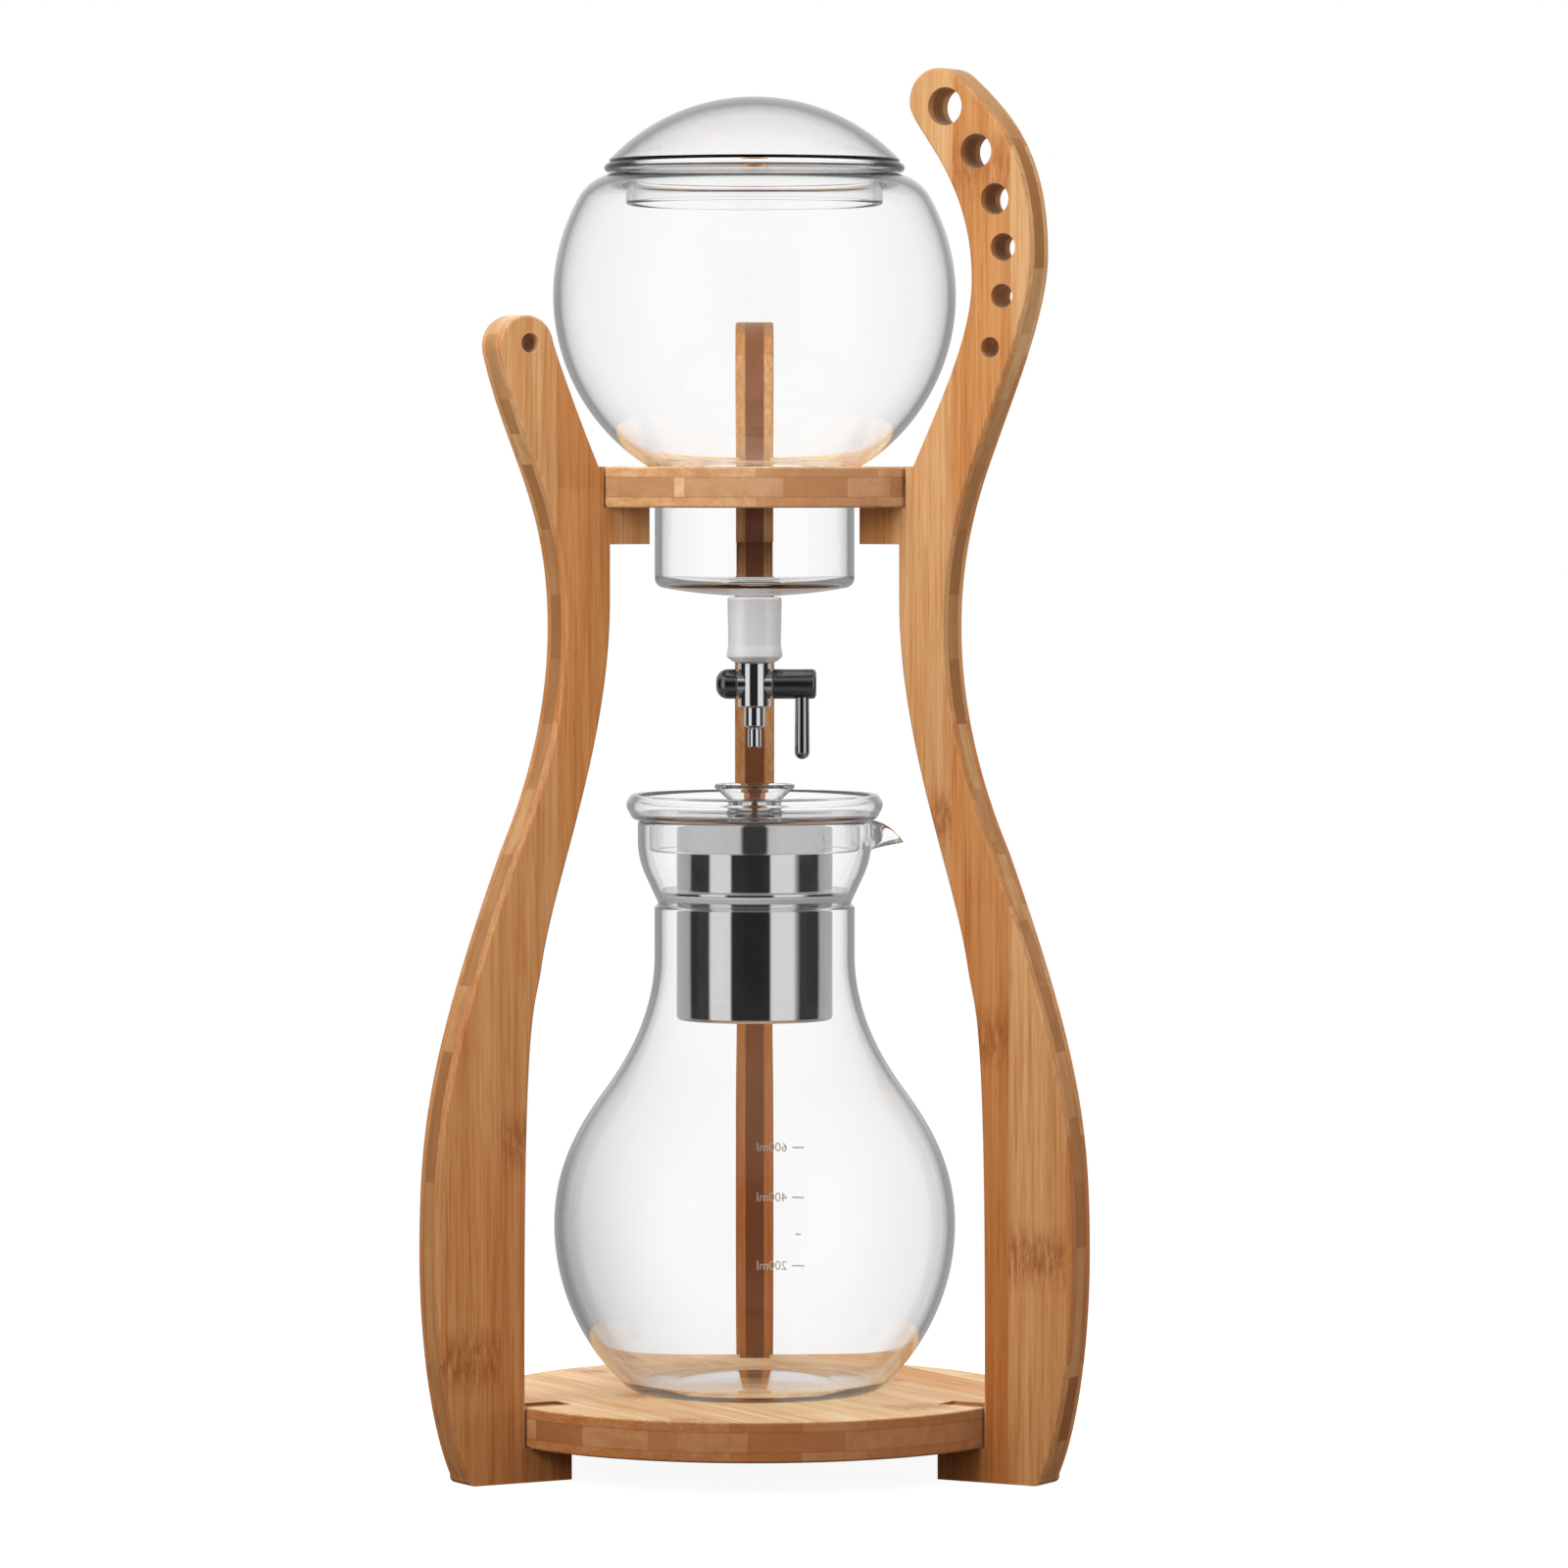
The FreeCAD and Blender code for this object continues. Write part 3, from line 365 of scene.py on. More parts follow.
def blown_glass(name, edge_grey, breadth=4.0, clear_above=None, caught="ececec"):
    """Borosilicate, blown and fire polished: clear, a little wavy, with a thin dark edge line.

    The glass turns to edge_grey where it is seen edge on, and a small breadth spreads that grey
    inwards. Where clear_above is given, in metres, the grey is painted shade, seen only below it,
    on upright faces and most on the left. caught tints light that has been thrown back and forth
    inside the glass and is then let out.
    """
    line_breadth = 9.0
    throws = 3.5           # light that was thrown back more often than this is let out
    shade_fade_over = 0.1       # metres: height over which the painted shade fades in
    sides_over = 0.05      # metres: half the width over which left passes to right
    right_share = 0.15
    material, make = empty_material(name)
    where = make("TexCoord")
    waves = make("TexNoise", {"Vector": where.outputs["Object"], "Scale": 26.0, "Detail": 1.0})
    bump = make("Bump", {"Height": waves, "Strength": 0.12, "Distance": MM})
    edge_on = make("LayerWeight", {"Blend": 0.5}).outputs["Facing"]
    slant = make("Math", {0: edge_on, 1: breadth}, operation="POWER")
    line = make("Math", {0: edge_on, 1: line_breadth}, operation="POWER")
    if clear_above is not None:
        # Painted shade: below clear_above the grey stays, strongest on the left and on upright faces
        place = make("SeparateXYZ", {"Vector": where.outputs["Object"]})
        shaded_low = make("MapRange", {"Value": place.outputs[2], "From Min": clear_above,
                                  "From Max": clear_above - shade_fade_over})
        left = make("MapRange", {"Value": place.outputs[0], "From Min": sides_over,
                                 "From Max": -sides_over, "To Min": right_share})
        upward = make("SeparateXYZ", {"Vector": where.outputs["Normal"]}).outputs[2]
        level = make("Math", {0: upward, 1: upward}, operation="MULTIPLY")
        upright = make("Math", {0: 1.0, 1: level}, operation="SUBTRACT")
        shaded_left = make("Math", {0: shaded_low, 1: left}, operation="MULTIPLY")
        painted_side_shade = make("Math", {0: upright, 1: shaded_left}, operation="MULTIPLY")
        slant = make("Math", {0: slant, 1: painted_side_shade}, operation="MULTIPLY")
    body = make("Mix", {0: slant, 6: colour("fefefe"), 7: colour(edge_grey)}, data_type="RGBA")
    tint = make("Mix", {0: line, 6: body, 7: colour("262628")}, data_type="RGBA")
    shader = make("BsdfPrincipled", {"Base Color": tint, "Roughness": 0.0, "IOR": 1.473,
                                     "Transmission Weight": 1.0,
                                     "Specular Tint": (0.35, 0.35, 0.35, 1.0), "Normal": bump})
    path = make("LightPath")
    trapped = make("Math", {0: path.outputs["Glossy Depth"], 1: throws}, operation="GREATER_THAN")
    dimmed = make("BsdfTransparent", {"Color": colour(caught)})
    escapes = make("MixShader", {0: trapped, 1: shader, 2: dimmed})
    lets_light_by = make("BsdfTransparent", {"Color": colour("fcfcfc")})
    soft = make("MixShader", {0: path.outputs["Is Diffuse Ray"], 1: escapes, 2: lets_light_by})
    shadowless = make("MixShader", {0: path.outputs["Is Shadow Ray"], 1: soft, 2: lets_light_by})
    make("OutputMaterial", {"Surface": shadowless})
    return material


def cast_silicone(name):
    """Silicone rubber from a polished mould: milky, soft to the light, faintly streaked."""
    material, make = empty_material(name)
    where = make("TexCoord")
    long_flow = make("Mapping", {"Vector": where.outputs["Object"], "Scale": (420, 420, 30)})
    flow = make("TexNoise", {"Vector": long_flow, "Scale": 1.0, "Detail": 2.0})
    cloudy = make("Mix", {0: flow, 6: colour("ffffff"), 7: colour("f8f8f8")}, data_type="RGBA")
    bump = make("Bump", {"Height": flow, "Strength": 0.1, "Distance": 0.2 * MM})
    shader = make("BsdfPrincipled", {"Base Color": cloudy, "Roughness": 0.35, "IOR": 1.41,
                                     "Transmission Weight": 0.4, "Normal": bump})
    make("OutputMaterial", {"Surface": shader})
    return material


def polished_metal(name, light, dark, roughness, line_width):
    """A turned and polished metal: two close greys, with turning lines too fine to count."""
    material, make = empty_material(name)
    where = make("TexCoord")
    lines = make("Mapping", {"Vector": where.outputs["Object"],
                             "Scale": (90, 90, 1 / (line_width * MM))})
    turning = make("TexNoise", {"Vector": lines, "Scale": 1.0, "Detail": 3.0})
    handled = make("TexNoise", {"Vector": where.outputs["Object"], "Scale": 140.0, "Detail": 3.0})
    metal = make("Mix", {0: turning, 6: colour(light), 7: colour(dark)}, data_type="RGBA")
    worn = make("MapRange", {"Value": handled, "From Min": 0.3, "From Max": 0.75,
                             "To Min": roughness, "To Max": roughness * 1.9})
    bump = make("Bump", {"Height": turning, "Strength": 0.03, "Distance": 0.04 * MM})
    shader = make("BsdfPrincipled", {"Base Color": metal, "Metallic": 1.0, "Roughness": worn,
                                     "Normal": bump})
    make("OutputMaterial", {"Surface": shader})
    return material


def moulded_rubber(name):
    """Nitrile rubber: black, matt, with a fine moulded grain."""
    material, make = empty_material(name)
    where = make("TexCoord")
    grit = make("TexNoise", {"Vector": where.outputs["Object"], "Scale": 2600.0, "Detail": 2.0})
    black = make("Mix", {0: grit, 6: colour("151515"), 7: colour("262626")}, data_type="RGBA")
    bump = make("Bump", {"Height": grit, "Strength": 0.3, "Distance": 0.05 * MM})
    shader = make("BsdfPrincipled", {"Base Color": black, "Roughness": 0.62, "Normal": bump})
    make("OutputMaterial", {"Surface": shader})
    return material


def fired_print(name):
    """Screen-printed enamel fired on the glass: pale grey, matt, thin in places."""
    material, make = empty_material(name)
    where = make("TexCoord")
    thin = make("TexNoise", {"Vector": where.outputs["Object"], "Scale": 1800.0, "Detail": 2.0})
    grey = make("Mix", {0: thin, 6: colour("c9c9c7"), 7: colour("a9a9a7")}, data_type="RGBA")
    bump = make("Bump", {"Height": thin, "Strength": 0.2, "Distance": 0.03 * MM})
    shader = make("BsdfPrincipled", {"Base Color": grey, "Roughness": 0.55, "Normal": bump})
    make("OutputMaterial", {"Surface": shader})
    return material


glass = blown_glass("blown borosilicate glass", "ececee")
# The carafe's glass carries painted shade: a broader, darker grey on the left of its bulb
carafe_glass = blown_glass("borosilicate glass with painted side shade", "58585c", 1.4, 0.14)
lid_glass = blown_glass("pressed borosilicate glass", "6a6a6c", caught="3c3c3c")
silicone = cast_silicone("cast silicone")
chrome = polished_metal("polished chrome plate", "e4e4e6", "d6d6d9", 0.045, 0.5)
gunmetal = polished_metal("dark nickel plate", "7a7a7d", "69696c", 0.15, 0.6)
dark_chrome = polished_metal("smoked chrome plate", "b9b9bb", "a3a3a6", 0.07, 0.6)
mirror_steel = polished_metal("mirror stainless steel", "dededf", "d2d2d4", 0.035, 0.7)
plain_steel = polished_metal("drawn stainless steel", "c2c2c3", "adadaf", 0.22, 0.25)
rubber = moulded_rubber("black nitrile rubber")
enamel = fired_print("fired grey print")


# ---- Bamboo boards ----

def welded_board(name, node, material):
    """A board with its triangles welded, so that its eased edges shade as one curve."""
    pick(frame["nodes"][node])
    bpy.ops.object.duplicate()
    piece = bpy.context.object
    piece.name = name
    piece.parent = None
    del piece["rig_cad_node"]
    del piece["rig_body"]
    bpy.ops.object.mode_set(mode="EDIT")
    bpy.ops.mesh.select_all(action="SELECT")
    bpy.ops.mesh.remove_doubles(threshold=WELD)
    bpy.ops.mesh.dissolve_limited(angle_limit=math.radians(0.5))
    bpy.ops.object.mode_set(mode="OBJECT")
    shade(piece, BOARD_SMOOTH_BELOW)
    fit(piece, material, "frame", "bamboo", node)


GRAIN_SKEW = math.radians(-28)    # the boards' grain runs askew of the front
BOARD_KNUCKLE = 60.0
for node, azimuth, seed, knuckle, end_dark, end_light in (
        ("leg_front_left", 210.0, 3.0, 37.0, "9a6536", "e0b27e"),
        ("leg_front_right", 330.0, 11.0, 67.0, "9a6536", "e0b27e"),
        ("leg_back", 90.0, 21.0, 150.0, "74472f", "88563b")):
    wood = bamboo("bamboo ply " + node, (0, 0, math.radians(-azimuth)), 0.0, seed, knuckle,
                  end_dark, end_light, mirrored=node == "leg_back")
    welded_board(node.replace("leg", "bamboo_leg"), node, wood)
for node, middle, seed in (("base_plate", BASE_MIDDLE, 34.0), ("upper_shelf", SHELF_MIDDLE, 47.0)):
    wood = bamboo("bamboo ply " + node, (math.radians(-90), GRAIN_SKEW, 0), middle, seed,
                  BOARD_KNUCKLE, "b27a52", "f2cfa4")
    welded_board("bamboo_" + node, node, wood)


# ---- Water vessel and its lid ----

NECK_RADIUS = 29.7
NECK_CORNER = 3.0
NECK_FILLET = 2.0
DISH_RADIUS = 150.0       # the neck's shallow bottom
OUTLET_RADIUS = 4.6
CROWN_ROUND = 14.0        # the shoulder that turns in to the mouth
MOUTH_RADIUS = 39.4
LIP_ROUND = 1.0


def globe_line(inset):
    """The vessel's line from its outlet to its mouth, outside, or inside when inset."""
    radius = GLOBE_RADIUS - inset
    neck = NECK_RADIUS - inset
    fillet = NECK_FILLET + inset
    corner = NECK_CORNER - inset / 2
    dish = DISH_RADIUS - inset
    dish_centre = NECK_BOTTOM + DISH_RADIUS
    corner_x = neck - corner
    corner_z = dish_centre - math.sqrt((dish - corner) ** 2 - corner_x ** 2)
    lean = math.degrees(math.asin(corner_x / (dish - corner)))
    outlet_lean = math.degrees(math.asin(OUTLET_RADIUS / dish))
    fillet_x = neck + fillet
    fillet_z = GLOBE_CENTRE - math.sqrt((radius + fillet) ** 2 - fillet_x ** 2)
    low = math.degrees(math.atan2(fillet_z - GLOBE_CENTRE, fillet_x))
    crown = CROWN_ROUND - inset
    crown_z = CROWN_TOP - CROWN_ROUND
    crown_x = math.sqrt((radius - crown) ** 2 - (crown_z - GLOBE_CENTRE) ** 2)
    high = math.degrees(math.atan2(crown_z - GLOBE_CENTRE, crown_x))
    line = bend((0, dish_centre), dish, -90 + outlet_lean, -90 + lean, 10)
    line += bend((corner_x, corner_z), corner, -90 + lean, 0, 8)
    line += [(neck, corner_z + (fillet_z - corner_z) * share) for share in (0.33, 0.66)]
    line += bend((fillet_x, fillet_z), fillet, 180, 180 + low, 7)
    line += bend((0, GLOBE_CENTRE), radius, low, high, 56)
    line += bend((crown_x, crown_z), crown, high, 88, 12)
    return line


vessel_outline = globe_line(0) + [(MOUTH_RADIUS + 1.2, CROWN_TOP)]
vessel_outline += bend((MOUTH_RADIUS + 0.95, CROWN_TOP - LIP_ROUND), LIP_ROUND, 90, 270, 8)
vessel_outline += list(reversed(globe_line(GLASS_WALL)))
vessel = draw_and_spin("glass_water_vessel", vessel_outline, closed=True)
fit(vessel, glass, "vessel", "clear_glass", "water_vessel")

# The lid: a hollow dome on a flat ring, whose rim rests on the mouth and whose skirt hangs in it
SKIRT_DEPTH = 9.6
SKIRT_ROUND = 0.98
RIM_RADIUS = 44.6
RIM_HEIGHT = 2.8
RIM_ROUND = 1.35
dome = GLOBE_RADIUS - 0.8
hollow = dome - 2.2
skirt_out = MOUTH_RADIUS - 1.2
skirt_in = skirt_out - 2.0
lid_seat = CROWN_TOP + 0.2
ring_top = lid_seat + 2.0
rim_top = lid_seat + RIM_HEIGHT
skirt_end = lid_seat - SKIRT_DEPTH
dome_edge = RIM_RADIUS - 1.4
rim_lean = math.degrees(math.acos(dome_edge / dome))
ring_lean = math.degrees(math.asin((ring_top + 1.0 - GLOBE_CENTRE) / hollow))
vessel_lid_outline = bend((0, GLOBE_CENTRE), hollow, 90, ring_lean, 26)
ring_x = vessel_lid_outline[-1][0]
vessel_lid_outline += soften([(ring_x, ring_top + 1.0), (ring_x + 0.5, ring_top, 0.5),
                              (skirt_in, ring_top, 0.8), (skirt_in, skirt_end, SKIRT_ROUND),
                              (skirt_out, skirt_end, SKIRT_ROUND), (skirt_out, lid_seat, 0.6),
                              (RIM_RADIUS, lid_seat, RIM_ROUND), (RIM_RADIUS, rim_top, RIM_ROUND),
                              (dome_edge - 0.4, rim_top)])[1:]
vessel_lid_outline += bend((0, GLOBE_CENTRE), dome, rim_lean, 90, 30)
vessel_lid = draw_and_spin("glass_vessel_lid", vessel_lid_outline)
fit(vessel_lid, lid_glass, "vessel_cover", "clear_glass", "vessel_lid")


# ---- Stopper and tap ----

TUBE_RADIUS = 2.5         # the inlet tube, and the tap body's socket for it
stopper_top = NECK_BOTTOM - 0.2
flange_low = NECK_BOTTOM + 2.2
flange_top = flange_low + 1.3
tube_top = TAP_TOP + 14.05
stopper = draw_and_spin("silicone_stopper", soften([
    (TUBE_RADIUS, TAP_TOP), (6.5, TAP_TOP, 0.5), (8.4, TAP_TOP + 1.6, 0.7),
    (7.8, TAP_TOP + 5.0, 3.0), (8.1, stopper_top, 0.8), (4.5, stopper_top), (4.5, flange_low),
    (6.3, flange_low, 0.3), (6.3, flange_top, 0.6), (2.2, flange_top, 0.3), (2.2, tube_top),
    (TUBE_RADIUS, tube_top)]), closed=True, sides=SMALL_SIDES)
fit(stopper, silicone, "vessel", "clear_silicone", "outlet_stopper")

BODY_RADIUS = 4.9
BODY_WAY = 1.2            # water way through the tap body
STEM_SOCKET = 2.0
socket_top = TAP_BOTTOM + 2.3
tube_seat = TAP_TOP - 3.0
barrel = draw_and_spin("chrome_tap_body", soften([
    (BODY_WAY, socket_top), (STEM_SOCKET, socket_top), (STEM_SOCKET, TAP_BOTTOM),
    (BODY_RADIUS, TAP_BOTTOM, 0.6), (BODY_RADIUS, TAP_TOP, 0.6), (TUBE_RADIUS, TAP_TOP),
    (TUBE_RADIUS, tube_seat), (BODY_WAY, tube_seat)]), closed=True, sides=SMALL_SIDES)
BOSS_HALF = 5.3           # half the length of the boss that the spindle crosses
boss = draw_and_spin("chrome_tap_boss", soften([
    (3.0, -BOSS_HALF), (4.1, -BOSS_HALF, 0.25), (4.1, BOSS_HALF, 0.25), (3.0, BOSS_HALF)]),
    closed=True, sides=SMALL_SIDES, lying_at=TAP_AXIS)
pick(boss, barrel)
bpy.ops.object.join()
fit(barrel, chrome, "vessel", "polished_chrome", "tap_body")

DRIP_WAY = 0.8            # water way through the stem and the tip
STEM_END = 219.8
STEM_RADIUS = 3.1
SPIGOT_RADIUS = 1.9
stem_top = TAP_BOTTOM - 0.05
spigot_top = TAP_BOTTOM + 2.2
nozzle = draw_and_spin("chrome_nozzle_stem", soften([
    (DRIP_WAY, STEM_END), (2.5, STEM_END, 0.2), (STEM_RADIUS, STEM_END + 0.6, 0.3),
    (STEM_RADIUS, stem_top, 0.15), (SPIGOT_RADIUS, stem_top), (SPIGOT_RADIUS, spigot_top),
    (DRIP_WAY, spigot_top)]), closed=True, sides=FINE_SIDES)
fit(nozzle, chrome, "vessel", "polished_chrome", "nozzle_stem")
TIP_END = 213.8
TIP_RADIUS = 2.0
tip = draw_and_spin("chrome_drip_tip", soften([
    (DRIP_WAY, TIP_END), (1.6, TIP_END, 0.15), (TIP_RADIUS, 214.2, 0.2), (TIP_RADIUS, 219.5, 0.2),
    (1.4, 219.5), (1.4, 222.0), (DRIP_WAY, 222.0)]), closed=True, sides=FINE_SIDES)
fit(tip, chrome, "vessel", "polished_chrome", "drip_tip")

GRIP_RADIUS = 4.45        # the knob and the end cap
GRIP_FACE = 5.35          # how far from the drip axis both begin
SPINDLE_SOCKET = 2.05
KNOB_END = 18.35
knob = draw_and_spin("dark_tap_knob", soften([
    (SPINDLE_SOCKET, GRIP_FACE), (GRIP_RADIUS, GRIP_FACE, 0.3), (GRIP_RADIUS, KNOB_END, 1.2),
    (0, KNOB_END), (0, 9.95), (SPINDLE_SOCKET, 9.95)]),
    closed=True, sides=SMALL_SIDES, lying_at=TAP_AXIS)
fit(knob, gunmetal, "tap_handle", "dark_chrome", "tap_knob")
CAP_END = 11.45
cap = draw_and_spin("dark_end_cap", soften([
    (SPINDLE_SOCKET, -8.95), (0, -8.95), (0, -CAP_END), (GRIP_RADIUS, -CAP_END, 3.4),
    (GRIP_RADIUS, -GRIP_FACE, 0.3), (SPINDLE_SOCKET, -GRIP_FACE)]),
    closed=True, sides=SMALL_SIDES, lying_at=TAP_AXIS)
fit(cap, gunmetal, "tap_handle", "dark_chrome", "tap_end_cap")

LEVER_RADIUS = 2.1        # at the knob, and a little more at its round end
LEVER_END_RADIUS = 2.25
LEVER_X = 14.15
lever_top = TAP_AXIS + 0.8
taper_top = TAP_AXIS - 4.4
taper_end = TAP_AXIS - 22.4 + LEVER_END_RADIUS
lever_outline = [(0, lever_top), (LEVER_RADIUS, lever_top)]
for share in (0, 0.2, 0.4, 0.6, 0.8):
    lever_outline.append((LEVER_RADIUS + (LEVER_END_RADIUS - LEVER_RADIUS) * share,
                          taper_top + (taper_end - taper_top) * share))
lever_outline += bend((0, taper_end), LEVER_END_RADIUS, 0, -90, 12)
lever = draw_and_spin("dark_tap_lever", lever_outline, sides=FINE_SIDES)
pick(lever)
bpy.ops.transform.translate(value=(LEVER_X * MM, 0, 0))
bpy.ops.object.transform_apply(location=True, rotation=False, scale=False)
fit(lever, dark_chrome, "tap_handle", "dark_chrome", "tap_lever")

for node, material in (("tap_inlet_tube", plain_steel), ("tap_spindle", plain_steel),
                       ("filter_mesh", plain_steel), ("tap_o_rings", rubber)):
    frame["nodes"][node].data.materials.clear()
    frame["nodes"][node].data.materials.append(material)


# ---- Carafe ----

BULB_RADIUS = 59.8
BULB_ARC = 65.8           # the bulb's side is an arc of this radius
BULB_MIDDLE = CARAFE_BASE + 49.9
FOOT_ROUND = 8.0
PUNT_RADIUS = 25.0        # the foot's middle is pushed up in a shallow dome
PUNT_RISE = 2.6
THROAT_RADIUS = 29.8
SHOULDER_TOP = CARAFE_BASE + 130.0
SHOULDER_TURN = (0.583, 0.54)    # where the shoulder leans most, as shares of its width and rise
SHOULDER_LEAN = -0.68
SHOULDER_REACH = (0.269, 0.119, 0.13, 0.194)
PINCH_RADIUS = 28.6
COLLAR_RADIUS = 34.8
LIP_HALF = GLASS_WALL / 2
CARAFE_FLOOR = 2.6


def sway(start, end, turn, lean, reach, steps):
    """An S from upright to upright, through a leaning middle."""
    rise = end[1] - start[1]
    meet = (start[0] + (end[0] - start[0]) * turn[0], start[1] + rise * turn[1])
    length = math.hypot(lean, 1)
    handle = [share * rise for share in reach]
    lower = sweep(start, (start[0], start[1] + handle[0]),
                  (meet[0] - lean / length * handle[1], meet[1] - handle[1] / length), meet, steps)
    upper = sweep(meet, (meet[0] + lean / length * handle[2], meet[1] + handle[2] / length),
                  (end[0], end[1] - handle[3]), end, steps)
    return lower + upper


def carafe_line(inset, floor_rise):
    """The carafe's line from the middle of its foot to its rim, outside, or inside when inset."""
    centre = (BULB_RADIUS - BULB_ARC, BULB_MIDDLE)
    flat = CARAFE_BASE + floor_rise
    arc = BULB_ARC - inset
    corner_z = flat + FOOT_ROUND
    corner_x = centre[0] + math.sqrt((arc - FOOT_ROUND) ** 2 - (corner_z - centre[1]) ** 2)
    lean = math.degrees(math.atan2(corner_z - centre[1], corner_x - centre[0]))
    punt = (PUNT_RADIUS ** 2 + PUNT_RISE ** 2) / (2 * PUNT_RISE)
    punt_lean = math.degrees(math.asin(PUNT_RADIUS / punt))
    throat = THROAT_RADIUS - inset
    collar = COLLAR_RADIUS - inset
    line = bend((0, flat + PUNT_RISE - punt), punt, 90, 90 - punt_lean, 8)
    line += bend((corner_x, corner_z), FOOT_ROUND, -90, lean, 12)
    line += bend(centre, arc, lean, 0, 26)
    line += sway((BULB_RADIUS - inset, BULB_MIDDLE), (throat, SHOULDER_TOP),
                 SHOULDER_TURN, SHOULDER_LEAN, SHOULDER_REACH, 22)
    line += soften([(throat, 152.5), (throat, 166.4, 0.8), (PINCH_RADIUS - inset, 167.4, 0.5),
                    (collar, 180.8, 25.0), (collar, COLLAR_TOP - LIP_HALF)], 7)[1:-1]
    line += [(collar, height) for height in (187.0, 188.2, 189.4, 190.4, 191.0)]
    return line


carafe_outline = carafe_line(0, 0)
carafe_outline += bend((COLLAR_RADIUS - LIP_HALF, COLLAR_TOP - LIP_HALF), LIP_HALF, 0, 180, 10)
carafe_outline += list(reversed(carafe_line(GLASS_WALL, CARAFE_FLOOR)))
carafe = draw_and_spin("glass_carafe", carafe_outline, sides=CARAFE_SIDES)

# The beak is drawn out of the soft rim, narrow at its point and fading downwards
BEAK_REACH = 10.2
BEAK_FALL = 6.4
BEAK_HALF = 17.0          # half its root, in degrees about the axis
BEAK_ROOT = 183.4
BEAK_PINCH = 0.55         # how far its sides come together at the point
for vertex in carafe.data.vertices:
    height = vertex.co.z / MM
    side = abs(math.degrees(math.atan2(vertex.co.y, vertex.co.x)))
    if height < BEAK_ROOT or side > BEAK_HALF:
        continue
    rise = min((height - BEAK_ROOT) / (COLLAR_TOP - BEAK_ROOT), 1.0)
    pull = (1 - side / BEAK_HALF) ** 1.7
    vertex.co.x += BEAK_REACH * pull * rise ** 1.3 * MM
    vertex.co.z -= BEAK_FALL * pull ** 2.2 * rise * MM
    vertex.co.y *= 1 - BEAK_PINCH * pull * rise
fit(carafe, carafe_glass, "carafe_body", "clear_glass", "carafe")


def print_on_carafe(piece):
    """Lays a flat mark on the back of the bulb, as a thin coat."""
    pick(piece)
    bpy.ops.object.transform_apply(location=True, rotation=True, scale=True)
    wrap = piece.modifiers.new("on the glass", "SHRINKWRAP")
    wrap.target = carafe
    wrap.wrap_method = "PROJECT"
    wrap.use_project_y = True
    wrap.use_negative_direction = True
    wrap.use_positive_direction = False
    wrap.offset = 0.06 * MM
    bpy.ops.object.modifier_apply(modifier=wrap.name)
    coat = piece.modifiers.new("coat", "SOLIDIFY")
    coat.thickness = 0.04 * MM
    coat.offset = -1.0
    bpy.ops.object.modifier_apply(modifier=coat.name)
    fit(piece, enamel, "carafe_body", "clear_glass")


MARK_BACK = 90.0          # the marks are drawn this far behind the axis, then laid on the glass
TICK_X = 13.6
TICK_BREADTH = 0.42
NUMBER_X = 10.2
NUMBER_SIZE = 3.9
NUMBER_FALL = 1.3         # a number's foot lies this far below its tick
for volume, height, length in ((200, 53.2, 3.8), (300, 62.8, 1.6), (400, 73.9, 3.7), (600, 89.4, 3.6)):
    deselect_all()
    bpy.ops.mesh.primitive_grid_add(x_subdivisions=12, y_subdivisions=2, size=MM,
                                    location=(TICK_X * MM, MARK_BACK * MM, height * MM),
                                    rotation=(-math.pi / 2, 0, 0))
    tick = bpy.context.object
    tick.name = "volume_tick_%d" % volume
    tick.scale = (length, TICK_BREADTH, 1.0)
    print_on_carafe(tick)
    if volume == 300:
        continue
    deselect_all()
    bpy.ops.object.text_add(location=(NUMBER_X * MM, MARK_BACK * MM, (height - NUMBER_FALL) * MM),
                            rotation=(math.pi / 2, 0, math.pi))
    number = bpy.context.object
    number.name = "volume_number_%d" % volume
    number.data.body = "%dml" % volume
    number.data.size = NUMBER_SIZE * MM
    bpy.ops.object.convert(target="MESH")
    print_on_carafe(number)


# ---- Filter and carafe lid ----

CUP_RADIUS = 23.2
CUP_INSIDE = 22.4
CUP_LOW = 132.8
CUP_TOP = 192.8
CUP_HOLE = 19.8           # the open floor, which the mesh covers
FLANGE_RADIUS = 27.9
FLANGE_LOW = 170.8
flange_up = FLANGE_LOW + 1.0
floor_up = CUP_LOW + 0.8
cup = draw_and_spin("steel_filter_cup", soften([
    (CUP_HOLE, CUP_LOW), (CUP_RADIUS, CUP_LOW, 1.2), (CUP_RADIUS, FLANGE_LOW, 0.3),
    (FLANGE_RADIUS, FLANGE_LOW, 0.25), (FLANGE_RADIUS, flange_up, 0.25),
    (CUP_RADIUS, flange_up, 0.3), (CUP_RADIUS, CUP_TOP, 0.38), (CUP_INSIDE, CUP_TOP, 0.38),
    (CUP_INSIDE, floor_up, 0.4), (CUP_HOLE, floor_up)]), closed=True)
fit(cup, mirror_steel, "filter", "mirror_steel", "filter_cup")
ring = draw_and_spin("steel_mesh_ring", soften([
    (20.95, 134.2, 0.2), (22.35, 134.2, 0.2), (22.35, 135.8, 0.2), (20.95, 135.8, 0.2)]),
    closed=True, sides=SMALL_SIDES)
fit(ring, mirror_steel, "filter", "plain_steel", "filter_mesh_ring")
gasket = draw_and_spin("silicone_gasket", soften([
    (23.25, 168.8, 0.25), (27.05, 168.8, 0.4), (27.98, FLANGE_LOW, 0.3),
    (23.25, FLANGE_LOW, 0.25)]), closed=True)
fit(gasket, silicone, "filter", "clear_silicone", "filter_gasket")

